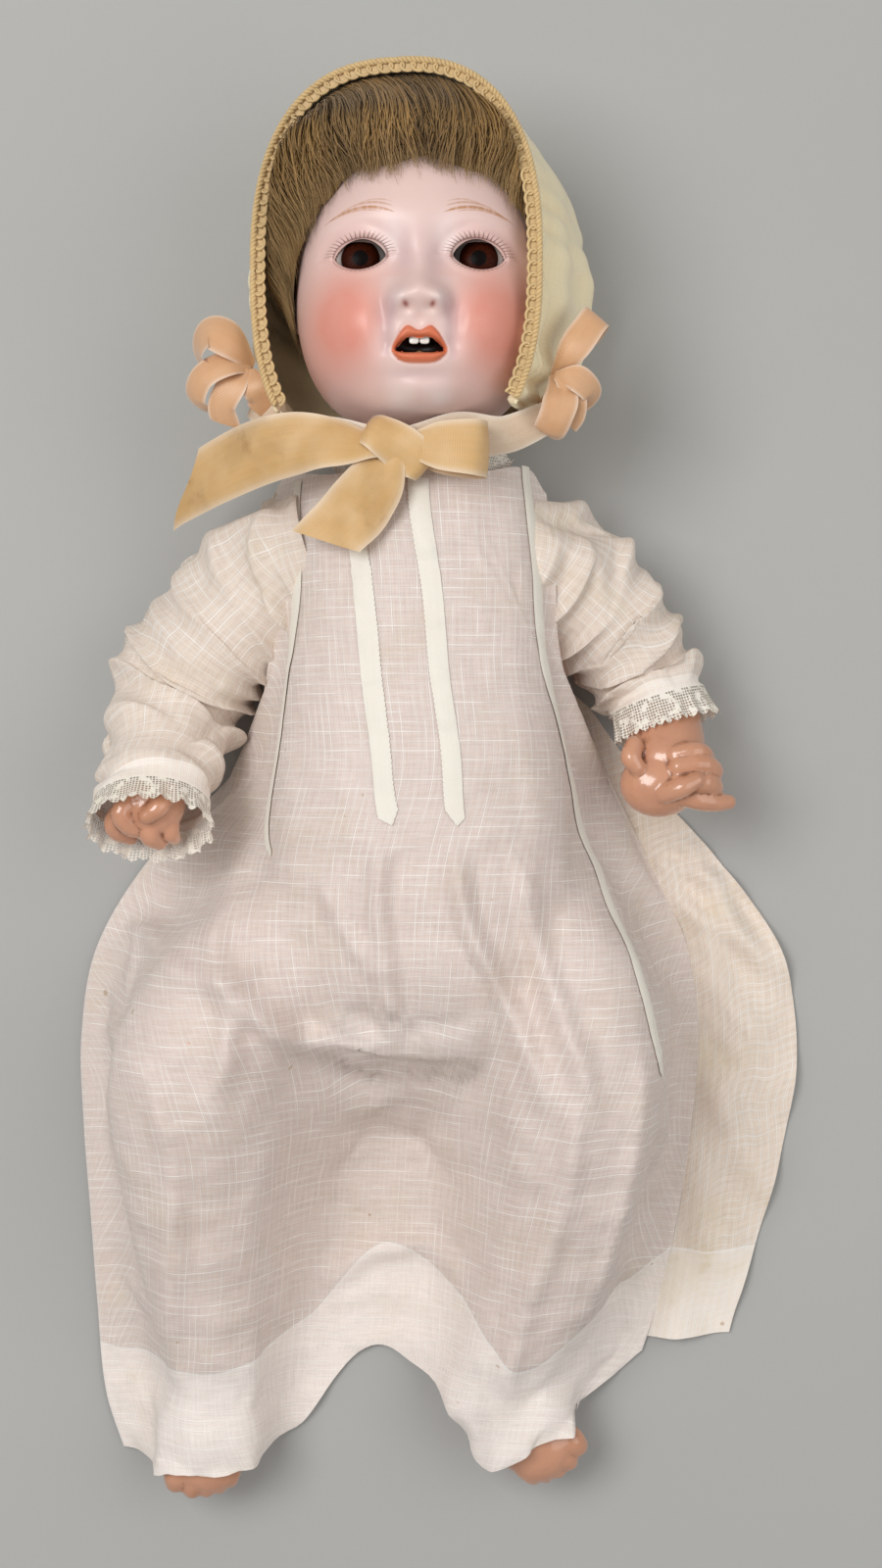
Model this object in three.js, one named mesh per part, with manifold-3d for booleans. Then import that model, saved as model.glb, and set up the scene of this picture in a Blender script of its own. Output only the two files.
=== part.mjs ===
// A baby doll with a bisque socket head on a strung composition body, dressed and lying on its back.
// Millimetres. +Z is up from the floor and is the doll's front, +Y runs to its crown, +X to its left side.
import * as THREE from 'three';
import { mergeVertices } from 'three/addons/utils/BufferGeometryUtils.js';
import Module from 'manifold-3d';

const wasm = await Module();
wasm.setup();

// Fits and stock
const SEAT_GAP = 0.4; // between pieces that bear on each other
const LAWN = 1.2; // the gown's cloth with its seam allowances, as a solid
const RIBBON = 1.2; // thickness of the silk ribbon with its turned edges
const RIBBON_WIDTH = 24;
const TAPE_WIDTH = 9.5;
const WIRE_RADIUS = 1.5; // all hooks and the eye rocker
const CORD_RADIUS = 2; // stringing elastic
const RING_RADIUS = 6.5; // eye of a limb hook, to the middle of its wire
const NECK_RING_RADIUS = 8.5; // eye of the neck hook, which takes two strands

// Torso, along Y from the neck to the crotch
const TORSO_TOP = 130;
const TORSO_BOTTOM = -98;
const CHEST_HALF_WIDTH = 53;
const BELLY_HALF_WIDTH = 60;
const TORSO_DEPTH = 97;
const TORSO_WALL = 4;

// Joints on the torso
const NECK_RADIUS = 24;
const NECK_RISE = 4; // neck ball centre above the top of the torso
const NECK_Y = TORSO_TOP + NECK_RISE;
const NECK_Z = 58;
const NECK_HOLE_RADIUS = 8;
const SHOULDER_X = 56;
const SHOULDER_Y = TORSO_TOP - 42;
const SHOULDER_Z = 46;
const SHOULDER_RADIUS = 20;
const HIP_X = 46;
const HIP_Y = TORSO_BOTTOM + 40;
const HIP_Z = 50;
const HIP_RADIUS = 26;
const HIP_TILT = 20 * Math.PI / 180; // hip faces look outward and this much downward
const HIP_FACE = 8; // hip centre to the flat face where leg and torso meet

// Head, measured from the middle of the skull
const HEAD_HALF_WIDTH = 51;
const CROWN_RISE = 68;
const CHIN_DROP = 62;
const FACE_DEPTH = 54;
const NAPE_DEPTH = 55;
const BISQUE_WALL = 4;
const HEAD_OVER_NECK = 71; // neck ball centre to the middle of the skull
const EYE_HALF_SPACING = 23.2;
const EYE_HEIGHT = 1;
const EYE_RADIUS = 12.5;
const EYE_DEPTH = 30.5; // eye centre in front of the middle of the skull
const EYE_SLIT_WIDTH = 19;
const EYE_SLIT_HEIGHT = 11;
const MOUTH_DROP = 36.5;
const MOUTH_WIDTH = 17;
const MOUTH_HEIGHT = 6.5;
const TOOTH_WIDTH = 4.2;
const CROWN_CUT = 50; // height of the crown opening above the middle of the skull
const CROWN_SLOPE = 22 * Math.PI / 180; // the opening slopes down to the nape
const EAR_RADII = [5, 12, 8];
const WEIGHT_RADIUS = 8;
const WEIGHT_DROP = 35;

// Wig and bonnet
const CAP_THICK = 1;
const HAIR_THICK = 3.6;
const FRINGE_HEIGHT = 37; // lower edge of the fringe above the middle of the skull
const FRINGE_HALF_WIDTH = 42;
const HAIR_HEM = -26;
const BONNET_CLOTH = 1.6;
const BONNET_ROOM = 15; // bonnet over the crown
const BONNET_SIDE_ROOM = 19; // bonnet over the side of the head
const BONNET_HALF_WIDTH = HEAD_HALF_WIDTH + BONNET_SIDE_ROOM;
const BONNET_RISE = CROWN_RISE + BONNET_ROOM;
const RIM_HALF_WIDTH = 62;
const RIM_SHIFT = -10; // the bonnet has slipped: its opening sits to the doll's right
const RIM_TURN = 12 * Math.PI / 180;
const RIM_HEIGHT = 98; // front edge of the bonnet above the floor
const BONNET_HEM_DROP = 55; // lower edge of the bonnet below the middle of the skull
const BRAID_RADIUS = 2.4;

const FACET_SAG = 1.6; // how far the flat facets of a shell dip under its round form
const CAP_INSIDE = SEAT_GAP + FACET_SAG;
const CAP_OFFSET = CAP_INSIDE + CAP_THICK;
const HAIR_INSIDE = CAP_OFFSET + SEAT_GAP;
const HAIR_OUTSIDE = HAIR_INSIDE + HAIR_THICK;
const BONNET_FLOOR = 0.5;
const HEAD_Y = NECK_Y + HEAD_OVER_NECK;
const BONNET_HEM_Y = HEAD_Y - BONNET_HEM_DROP;
const HEAD_Z = BONNET_FLOOR + BONNET_CLOTH + 2 * SEAT_GAP + HAIR_OUTSIDE + NAPE_DEPTH;
const BACK_Z = LAWN + SEAT_GAP;
const SIDE_FACE = CHEST_HALF_WIDTH + 2; // plane where sleeve and arm begin beside the chest

const doll = new THREE.Group();
doll.name = 'baby_doll';

const v3 = (x, y, z) => new THREE.Vector3(x, y, z);
const mix = (a, b, t) => a + (b - a) * t;
const clamp = (x) => Math.min(1, Math.max(0, x));
const signedPower = (x, p) => Math.sign(x) * Math.abs(x) ** p;

function smooth(from, to, x) {
  const t = clamp((x - from) / (to - from));
  return t * t * (3 - 2 * t);
}

// Height of a rounded outline at s, which runs from 0 in the middle to 1 at its end.
function roundness(s, power) {
  return Math.max(0, 1 - Math.abs(s) ** power) ** (1 / power);
}

// A smooth line through values given at even steps, read at t from 0 to 1.
function along(values, t) {
  const curve = new THREE.SplineCurve(values.map((v, i) => new THREE.Vector2(i, v)));
  return curve.getPoint(clamp(t)).y;
}

// A closed skin through rings of equal count, with a fan over each end.
function loft(rings) {
  const count = rings[0].length;
  const points = rings.flat();
  const faces = [];
  for (let j = 0; j + 1 < rings.length; j++) {
    for (let i = 0; i < count; i++) {
      const a = j * count + i;
      const b = j * count + (i + 1) % count;
      faces.push(a, b, a + count, b, b + count, a + count);
    }
  }
  const ends = [[0, 1], [rings.length - 1, -1]];
  for (const [row, side] of ends) {
    const middle = v3(0, 0, 0);
    rings[row].forEach((p) => middle.addScaledVector(p, 1 / count));
    points.push(middle);
    for (let i = 0; i < count; i++) {
      const a = row * count + i;
      const b = row * count + (i + 1) % count;
      faces.push(points.length - 1, side > 0 ? b : a, side > 0 ? a : b);
    }
  }
  return outward(points, faces);
}

// Geometry of a closed skin, turned to face out.
function outward(points, faces) {
  let volume = 0;
  for (let i = 0; i < faces.length; i += 3) {
    const cross = v3().crossVectors(points[faces[i + 1]], points[faces[i + 2]]);
    volume += points[faces[i]].dot(cross);
  }
  if (volume < 0) {
    for (let i = 0; i < faces.length; i += 3) {
      [faces[i + 1], faces[i + 2]] = [faces[i + 2], faces[i + 1]];
    }
  }
  const geometry = new THREE.BufferGeometry();
  const coordinates = points.flatMap((p) => [p.x, p.y, p.z]);
  geometry.setAttribute('position', new THREE.Float32BufferAttribute(coordinates, 3));
  geometry.setIndex(faces);
  return geometry;
}

// A sheet with an upper and a lower face, from two grids of points with the same rows and columns.
function sheet(upper, lower) {
  const columns = upper[0].length;
  const rings = upper.map((row, j) => [...row, ...lower[j].slice().reverse()]);
  const points = rings.flat();
  const around = 2 * columns;
  const faces = [];
  for (let j = 0; j + 1 < rings.length; j++) {
    for (let i = 0; i < around; i++) {
      const a = j * around + i;
      const b = j * around + (i + 1) % around;
      faces.push(a, b, a + around, b, b + around, a + around);
    }
  }
  for (const [row, side] of [[0, 1], [rings.length - 1, -1]]) {
    for (let i = 0; i + 1 < columns; i++) {
      const a = row * around + i;
      const b = a + 1;
      const c = row * around + around - 1 - i;
      const d = c - 1;
      faces.push(...(side > 0 ? [a, c, b, b, c, d] : [a, b, c, b, d, c]));
    }
  }
  return outward(points, faces);
}

// A round body along a curve from t = from to t = to, with the radius given at each t.
// The ripple is a share of the radius added at each t and angle.
function bodyAlong(curve, from, to, radiusAt, steps, sides, ripple = () => 0) {
  const rings = [];
  for (let j = 0; j <= steps; j++) {
    const t = mix(from, to, j / steps);
    const centre = curve.getPoint(t);
    const tangent = curve.getTangent(t);
    const across = v3(0.3, 0.2, 0.93).cross(tangent).normalize();
    const over = tangent.clone().cross(across);
    const radius = radiusAt(t);
    const ring = [];
    for (let i = 0; i < sides; i++) {
      const angle = 2 * Math.PI * i / sides;
      const r = radius * (1 + ripple(t, angle));
      ring.push(centre.clone()
        .addScaledVector(across, r * Math.cos(angle))
        .addScaledVector(over, r * Math.sin(angle)));
    }
    rings.push(ring);
  }
  return loft(rings);
}

// A flat band along points, each with the direction of its width.
function band(points, widths, width, thick, steps) {
  const line = new THREE.CatmullRomCurve3(points);
  const lean = new THREE.CatmullRomCurve3(widths);
  const rings = [];
  for (let j = 0; j <= steps; j++) {
    const t = j / steps;
    const centre = line.getPoint(t);
    const side = lean.getPoint(t).normalize();
    const up = line.getTangent(t).cross(side).normalize();
    rings.push([[-1, -1], [1, -1], [1, 1], [-1, 1]].map(([a, b]) => centre.clone()
      .addScaledVector(side, a * width / 2)
      .addScaledVector(up, b * thick / 2)));
  }
  return loft(rings);
}

function moved(geometry, x, y, z) {
  return geometry.clone().translate(x, y, z);
}

function ellipsoid(rx, ry, rz, around, up) {
  return new THREE.SphereGeometry(1, around, up).scale(rx, ry, rz);
}

function ball(radius, around, up) {
  return ellipsoid(radius, radius, radius, around, up);
}

// Room for a ball that turns: even the middles of its flat facets stay a seat gap away.
function ballSeat(radius) {
  const around = 28;
  const up = 16;
  const facets = Math.cos(Math.PI / around) * Math.cos(Math.PI / 2 / up);
  return ball((radius + SEAT_GAP) / facets, around, up);
}

// A round bar between two points.
function bar(from, to, radius, sides = 10) {
  const length = from.distanceTo(to);
  const geometry = new THREE.CylinderGeometry(radius, radius, length, sides);
  const turn = new THREE.Quaternion().setFromUnitVectors(v3(0, 1, 0), to.clone().sub(from).normalize());
  geometry.applyQuaternion(turn);
  const middle = from.clone().add(to).multiplyScalar(0.5);
  return geometry.translate(middle.x, middle.y, middle.z);
}

// A finger or toe: a rounded bar that tapers to its tip.
function digit(root, tip, radius) {
  const rings = [];
  const axis = tip.clone().sub(root);
  const stops = [[-0.05, 0.6], [0.2, 1], [0.78, 0.9], [0.97, 0.45]];
  const turn = new THREE.Quaternion().setFromUnitVectors(v3(0, 0, 1), axis.clone().normalize());
  for (const [t, size] of stops) {
    const ring = [];
    for (let i = 0; i < 5; i++) {
      const angle = 2 * Math.PI * i / 5;
      const spoke = v3(Math.cos(angle), Math.sin(angle), 0).multiplyScalar(radius * size);
      ring.push(spoke.applyQuaternion(turn).add(root).addScaledVector(axis, t));
    }
    rings.push(ring);
  }
  return loft(rings);
}

// A box filling the far side of a plane through a point.
function beyond(point, normal, size = 700) {
  const geometry = new THREE.BoxGeometry(size, size, size).translate(0, 0, size / 2);
  const turn = new THREE.Quaternion().setFromUnitVectors(v3(0, 0, 1), normal.clone().normalize());
  geometry.applyQuaternion(turn);
  return geometry.translate(point.x, point.y, point.z);
}

function solid(geometry) {
  const bare = geometry.clone();
  bare.deleteAttribute('normal');
  bare.deleteAttribute('uv');
  const merged = mergeVertices(bare, 1e-4);
  return new wasm.Manifold(new wasm.Mesh({
    numProp: 3,
    vertProperties: new Float32Array(merged.attributes.position.array),
    triVerts: new Uint32Array(merged.index.array),
  }));
}

function joined(...geometries) {
  return geometries.map(solid).reduce((all, one) => all.add(one));
}

function geometryOf(manifold) {
  const made = manifold.getMesh();
  const geometry = new THREE.BufferGeometry();
  const positions = new Float32Array(made.numVert * 3);
  for (let i = 0; i < made.numVert; i++) {
    positions.set(made.vertProperties.subarray(i * made.numProp, i * made.numProp + 3), i * 3);
  }
  geometry.setAttribute('position', new THREE.BufferAttribute(positions, 3));
  geometry.setIndex(new THREE.BufferAttribute(made.triVerts, 1));
  return geometry;
}

function paint(color, roughness, metalness = 0) {
  return new THREE.MeshStandardMaterial({ color, roughness, metalness });
}

const bisque = paint(0xf0d3c6, 0.45);
const composition = paint(0xc98b6c, 0.25);
const lawn = paint(0xe9e4dc, 0.9);
const lace = paint(0xe6ddca, 0.9);
const silk = paint(0xdcb98a, 0.45);
const peach = paint(0xe8b795, 0.5);
const bonnetCloth = paint(0xe9dcc0, 0.85);
const glass = paint(0x3a1710, 0.05);
const mohair = paint(0x7a5634, 0.7);
const steel = paint(0x77736c, 0.4, 0.9);
const elastic = paint(0xd8cdb8, 0.9);
const plaster = paint(0xece6da, 0.95);
const card = paint(0xb59a72, 0.95);
const wood = paint(0xa97b4a, 0.7);
const lead = paint(0x6c6f73, 0.5, 0.8);
const cork = paint(0x9c7248, 0.95);
const enamel = paint(0xf6f2e8, 0.2);

// Adds a named piece to a group, from a geometry or a cut solid.
function piece(group, name, shape, material) {
  const geometry = shape.isBufferGeometry ? shape : geometryOf(shape);
  const mesh = new THREE.Mesh(geometry, material);
  mesh.name = name;
  group.add(mesh);
  return mesh;
}

function bodyGroup(name, x, y, z) {
  const group = new THREE.Group();
  group.name = name;
  group.position.set(x, y, z);
  doll.add(group);
  return group;
}

// Torso: a moulded shell in a front and a back half, cut flat at the hips.
const torsoMiddle = (TORSO_TOP + TORSO_BOTTOM) / 2;
const torsoHalf = (TORSO_TOP - TORSO_BOTTOM) / 2;
const seamZ = BACK_Z + TORSO_DEPTH / 2;

function torsoSize(y) {
  const s = (y - torsoMiddle) / torsoHalf;
  const ends = roundness(s, 4);
  const belly = smooth(0.35, -0.35, s);
  return {
    wide: mix(CHEST_HALF_WIDTH, BELLY_HALF_WIDTH, belly) * ends,
    deep: TORSO_DEPTH / 2 * mix(0.95, 1, belly) * roundness(s, 3),
  };
}

function torsoShape(inset, rows, sides) {
  const rings = [];
  for (let j = 0; j <= rows; j++) {
    const s = Math.sin(Math.PI / 2 * mix(-0.97, 0.97, j / rows));
    const y = torsoMiddle + s * torsoHalf;
    const size = torsoSize(y);
    const ring = [];
    for (let i = 0; i < sides; i++) {
      const angle = 2 * Math.PI * i / sides;
      ring.push(v3(
        Math.max(1, size.wide - inset) * signedPower(Math.cos(angle), 0.8),
        y - s * inset,
        seamZ + Math.max(1, size.deep - inset) * signedPower(Math.sin(angle), 0.8),
      ));
    }
    rings.push(ring);
  }
  return loft(rings);
}

const hipAxis = (side) => v3(side * Math.cos(HIP_TILT), -Math.sin(HIP_TILT), 0);
const hipCentre = (side) => v3(side * HIP_X, HIP_Y, HIP_Z);
const shoulderCentre = (side) => v3(side * SHOULDER_X, SHOULDER_Y, SHOULDER_Z);

let torso = solid(torsoShape(0, 9, 18)).subtract(solid(torsoShape(TORSO_WALL + 1, 7, 12)));
for (const side of [-1, 1]) {
  const face = hipCentre(side).addScaledVector(hipAxis(side), HIP_FACE - SEAT_GAP);
  torso = torso.subtract(solid(beyond(face, hipAxis(side))));
  torso = torso.subtract(solid(moved(ballSeat(HIP_RADIUS), ...hipCentre(side).toArray())));
  torso = torso.subtract(solid(moved(ballSeat(SHOULDER_RADIUS), ...shoulderCentre(side).toArray())));
}
torso = torso.subtract(solid(moved(ballSeat(NECK_RADIUS), 0, NECK_Y, NECK_Z)));
const hookWay = bar(v3(0, NECK_Y, NECK_Z), v3(0, TORSO_TOP - NECK_RADIUS, NECK_Z), NECK_HOLE_RADIUS, 16);
torso = torso.subtract(solid(hookWay));

const trunk = bodyGroup('torso', 0, 0, 0);
const seamHalf = SEAT_GAP / 2;
const aboveSeam = solid(beyond(v3(0, 0, seamZ - seamHalf), v3(0, 0, 1)));
const belowSeam = solid(beyond(v3(0, 0, seamZ + seamHalf), v3(0, 0, -1)));
piece(trunk, 'torso_front', torso.subtract(belowSeam), composition);
piece(trunk, 'torso_back', torso.subtract(aboveSeam), composition);

// Stringing. Each limb hook has its eye inside the torso; the elastics pass through the eyes.
const turnRadius = WIRE_RADIUS + CORD_RADIUS + SEAT_GAP;
const armEyeX = SHOULDER_X - SHOULDER_RADIUS - RING_RADIUS - WIRE_RADIUS - 1;
const legEyeDepth = HIP_RADIUS + RING_RADIUS + WIRE_RADIUS + 1;
const legEye = (side) => hipCentre(side).addScaledVector(hipAxis(side), -legEyeDepth);
const neckEyeY = NECK_Y - NECK_RADIUS - NECK_RING_RADIUS - WIRE_RADIUS - 1;
const cordSpread = CORD_RADIUS + 0.3;

// A closed loop of round cord with one ring of the skin at each point.
function cordLoop(points) {
  const count = points.length;
  const sides = 5;
  let spoke = null;
  const rings = points.map((point, j) => {
    const tangent = points[(j + 1) % count].clone().sub(points[(j + count - 1) % count]).normalize();
    const rough = spoke ?? v3(0.36, 0.48, 0.8).cross(tangent);
    spoke = rough.clone().addScaledVector(tangent, -rough.dot(tangent)).normalize();
    const over = tangent.clone().cross(spoke);
    return Array.from({ length: sides }, (_, i) => {
      const angle = 2 * Math.PI * i / sides;
      return point.clone()
        .addScaledVector(spoke, CORD_RADIUS * Math.cos(angle))
        .addScaledVector(over, CORD_RADIUS * Math.sin(angle));
    });
  });
  const last = rings[count - 1];
  const stretch = (k) => rings[0].reduce((sum, p, i) => sum + p.distanceTo(last[(i + k) % sides]), 0);
  const twists = last.map((_, k) => stretch(k));
  const twist = twists.indexOf(Math.min(...twists));
  const faces = [];
  for (let j = 0; j < count; j++) {
    const next = (j + 1) % count;
    const shift = next === 0 ? sides - twist : 0;
    for (let i = 0; i < sides; i++) {
      const a = j * sides + i;
      const b = j * sides + (i + 1) % sides;
      const c = next * sides + (i + shift) % sides;
      const d = next * sides + (i + 1 + shift) % sides;
      faces.push(a, b, c, b, d, c);
    }
  }
  return outward(rings.flat(), faces);
}

// Half a turn of cord round a wire: from one side, past the far side, to the other side.
function halfTurn(wire, far, side) {
  return [90, 45, 0, -45, -90].map((degrees) => {
    const angle = degrees * Math.PI / 180;
    return wire.clone()
      .addScaledVector(far, turnRadius * Math.cos(angle))
      .addScaledVector(side, turnRadius * Math.sin(angle));
  });
}

const armTurnX = armEyeX - RING_RADIUS;
const armLoop = [];
for (const side of [1, -1]) {
  const wire = v3(side * armTurnX, SHOULDER_Y, SHOULDER_Z);
  armLoop.push(v3(side * (armTurnX - 8), SHOULDER_Y + side * turnRadius, SHOULDER_Z));
  armLoop.push(...halfTurn(wire, v3(side, 0, 0), v3(0, side, 0)));
  armLoop.push(v3(side * (armTurnX - 8), SHOULDER_Y - side * turnRadius, SHOULDER_Z));
}
piece(trunk, 'arm_elastic', cordLoop(armLoop), elastic);

const legLoop = [];
const neckWireY = neckEyeY - Math.sqrt(NECK_RING_RADIUS ** 2 - cordSpread ** 2);
for (const side of [1, -1]) {
  const wire = legEye(side).add(v3(0, RING_RADIUS, 0));
  const lead = wire.clone().lerp(v3(side * turnRadius, neckWireY, NECK_Z), 0.08);
  const neckWire = v3(0, neckWireY, NECK_Z - side * cordSpread);
  legLoop.push(lead.clone().add(v3(0, 0, side * turnRadius)));
  legLoop.push(...halfTurn(wire, v3(0, -1, 0), v3(0, 0, side)));
  legLoop.push(lead.clone().add(v3(0, 0, -side * turnRadius)));
  legLoop.push(...halfTurn(neckWire, v3(0, 1, 0), v3(side, 0, 0)));
}
piece(trunk, 'leg_elastic', cordLoop(legLoop), elastic);

// A hook: an eye of wire with a straight shank that is driven into a limb.
function hook(eye, shankEnd, eyeNormal, ringRadius = RING_RADIUS) {
  const ring = new THREE.TorusGeometry(ringRadius, WIRE_RADIUS, 5, 12);
  ring.applyQuaternion(new THREE.Quaternion().setFromUnitVectors(v3(0, 0, 1), eyeNormal));
  const way = shankEnd.clone().sub(eye).normalize();
  const start = eye.clone().addScaledVector(way, ringRadius);
  return joined(moved(ring, eye.x, eye.y, eye.z), bar(start, shankEnd, WIRE_RADIUS, 6));
}

// Limbs. Each runs along a curve from its ball, in the frame of its joint.
const ARM_PATHS = {
  left: [v3(0, 0, 0), v3(24, -20, -8), v3(40, -46, -17), v3(47, -68, -4), v3(48, -80, 4)],
  right: [v3(0, 0, 0), v3(-26, -24, -6), v3(-46, -52, -10), v3(-54, -78, 8), v3(-55, -88, 22)],
};
const ARM_RADII = [18.5, 20, 18, 16, 14.5];
const ARM_STEPS = 9;
const CUFF_AT = 0.74; // where the sleeve ends along the arm
const LEG_PATHS = {
  left: [
    v3(0, 0, 0), v3(16, -30, 8), v3(19, -66, 11),
    v3(16, -110, 0), v3(8, -154, -16), v3(1, -192, -27),
  ],
  right: [
    v3(0, 0, 0), v3(-30, -28, 6), v3(-48, -62, 10),
    v3(-50, -105, 0), v3(-46, -153, -15), v3(-41, -199, -27),
  ],
};
const LEG_RADII = [25, 31, 32, 27, 22.5, 17];
const FOOT_LENGTH = 46;
const FOOT_AIM = { left: v3(0.55, -0.8, 0.12), right: v3(-0.15, -0.95, 0.16) };
const TOE_RADIUS = 5;
const FINGER_RADIUS = 4.2;

const curveOf = (points) => new THREE.CatmullRomCurve3(points);
const armRadius = (t) => along(ARM_RADII, t);
const legRadius = (t) => along(LEG_RADII, t);

// Hand at the end of an arm: palm, four fingers and a thumb.
function hand(side, wrist, curled) {
  const palm = wrist.clone().add(v3(side * 1, -9, 3));
  const shapes = [moved(ellipsoid(17, 15, 13, 10, 7), palm.x, palm.y, palm.z)];
  const at = (x, y, z) => palm.clone().add(v3(side * x, y, z));
  if (curled) {
    shapes.push(digit(at(9, 9, 10), at(18, 3, 12), FINGER_RADIUS));
    shapes.push(digit(at(8, 4, 6), at(20.5, -2, 9), FINGER_RADIUS));
    shapes.push(digit(at(8, -2, 4), at(23, -7, 7), FINGER_RADIUS));
    shapes.push(digit(at(8, -8, 0), at(27, -12, 3), FINGER_RADIUS));
    shapes.push(digit(at(-10, 10, 6), at(8, 8, 13), FINGER_RADIUS));
  } else {
    shapes.push(digit(at(10, -6, 6), at(18, -17, 18), FINGER_RADIUS));
    shapes.push(digit(at(4, -8, 6), at(10, -21, 20), FINGER_RADIUS));
    shapes.push(digit(at(-2, -8, 6), at(1, -21, 19), FINGER_RADIUS));
    shapes.push(digit(at(-8, -7, 6), at(-8, -19, 17), FINGER_RADIUS));
    shapes.push(digit(at(12, 4, 8), at(17, 4, 21), FINGER_RADIUS));
  }
  return joined(...shapes);
}

// Foot at the end of a leg: heel, instep and five toes, the big toe on the inner side.
function foot(side, ankle, aim) {
  const ahead = aim.clone().normalize();
  const inner = v3(0, 0, 1).cross(ahead).multiplyScalar(side).normalize();
  const top = ahead.clone().cross(inner).multiplyScalar(side);
  const at = (forward, inward, up) => ankle.clone()
    .addScaledVector(ahead, forward)
    .addScaledVector(inner, inward)
    .addScaledVector(top, up);
  const stops = [
    [-16, 7, 9], [-8, 15, 15], [8, 17, 16],
    [24, 18, 12.5], [FOOT_LENGTH - 8, 17, 9], [FOOT_LENGTH, 12, 6],
  ];
  const rings = stops.map(([forward, wide, high]) => {
    const ring = [];
    for (let i = 0; i < 10; i++) {
      const angle = 2 * Math.PI * i / 10;
      ring.push(at(forward, wide * Math.cos(angle), high * Math.sin(angle) - 4));
    }
    return ring;
  });
  const toes = [12, 4.5, -1.5, -7.5, -13].map((across, n) => {
    const size = n === 0 ? TOE_RADIUS * 1.35 : TOE_RADIUS * (1 - 0.07 * n);
    const reach = FOOT_LENGTH + 6 - 0.09 * (across - 6) ** 2 / 4 - (n > 2 ? 2 * (n - 2) : 0);
    return digit(at(reach - 16, across, -3), at(reach, across * 1.08, -2), size);
  });
  return joined(loft(rings), ...toes);
}

const limbs = {};
for (const [name, side] of [['left', 1], ['right', -1]]) {
  const armGroup = bodyGroup(name + '_arm_body', ...shoulderCentre(side).toArray());
  const armCurve = curveOf(ARM_PATHS[name]);
  const armFace = side * (SIDE_FACE - SHOULDER_X);
  const armInside = solid(beyond(v3(armFace, 0, 0), v3(-side, 0, 0)));
  const armHook = hook(v3(side * (armEyeX - SHOULDER_X), 0, 0), v3(side * 6, 0, 0), v3(0, 1, 0));
  const armBore = bar(v3(-side * 40, 0, 0), v3(side * 7, 0, 0), WIRE_RADIUS + SEAT_GAP, 10);
  const arm = solid(bodyAlong(armCurve, 0, 1, armRadius, ARM_STEPS, 12))
    .subtract(armInside)
    .add(solid(ball(SHOULDER_RADIUS, 14, 8)))
    .add(hand(side, armCurve.getPoint(1), name === 'left'))
    .subtract(solid(armBore));
  piece(armGroup, name + '_arm', arm, composition);
  piece(armGroup, name + '_arm_hook', armHook, steel);

  // Sleeve: a full tube gathered in rings over the arm, and its lace cuff.
  const flare = name === 'right' ? 1.6 : 1;
  const inside = (t) => armRadius(t) + 2 * SEAT_GAP + (flare - 1) * 14 * smooth(0.5, CUFF_AT, t);
  const outside = (t) => inside(t) + LAWN + 2.2 + 1.6 * Math.sin(t * 34);
  const gathers = (t, angle) => 0.05 * Math.sin(5 * angle + 9 * t);
  const start = 0.06;
  const sleeve = solid(bodyAlong(armCurve, start, CUFF_AT, outside, 12, 12, gathers))
    .subtract(solid(bodyAlong(armCurve, 0, 1 - 1 / ARM_STEPS, inside, ARM_STEPS - 1, 12)))
    .subtract(armInside)
    .subtract(solid(ball(SHOULDER_RADIUS + 2 * SEAT_GAP, 12, 8)));
  piece(armGroup, name + '_sleeve', sleeve, lawn);
  const cuffStart = CUFF_AT + 0.012;
  const cuffEnd = CUFF_AT + 0.1;
  const cuffInside = (t) => inside(t) + SEAT_GAP + 10 * (t - CUFF_AT);
  const cuffOutside = (t) => cuffInside(t) + LAWN;
  const scallops = (t, angle) => 0.05 + 0.04 * Math.cos(8 * angle);
  const cuff = solid(bodyAlong(armCurve, cuffStart, cuffEnd, cuffOutside, 1, 24, scallops))
    .subtract(solid(bodyAlong(armCurve, cuffStart - 0.02, cuffEnd + 0.02, cuffInside, 1, 12)));
  piece(armGroup, name + '_cuff', cuff, lace);

  const legGroup = bodyGroup(name + '_leg_body', ...hipCentre(side).toArray());
  const legCurve = curveOf(LEG_PATHS[name]);
  const legInside = solid(beyond(hipAxis(side).multiplyScalar(HIP_FACE), hipAxis(side).negate()));
  const legHook = hook(legEye(side).sub(hipCentre(side)), hipAxis(side).multiplyScalar(12), v3(0, 0, 1));
  const boreFrom = hipAxis(side).multiplyScalar(-45);
  const boreTo = hipAxis(side).multiplyScalar(13);
  const legBore = bar(boreFrom, boreTo, WIRE_RADIUS + SEAT_GAP, 10);
  const leg = solid(bodyAlong(legCurve, 0, 1, legRadius, 10, 12))
    .subtract(legInside)
    .add(solid(ball(HIP_RADIUS, 14, 8)))
    .add(foot(side, legCurve.getPoint(1), FOOT_AIM[name]))
    .subtract(solid(legBore));
  piece(legGroup, name + '_leg', leg, composition);
  piece(legGroup, name + '_leg_hook', legHook, steel);
  limbs[name] = { legCurve, side };
}

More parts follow.
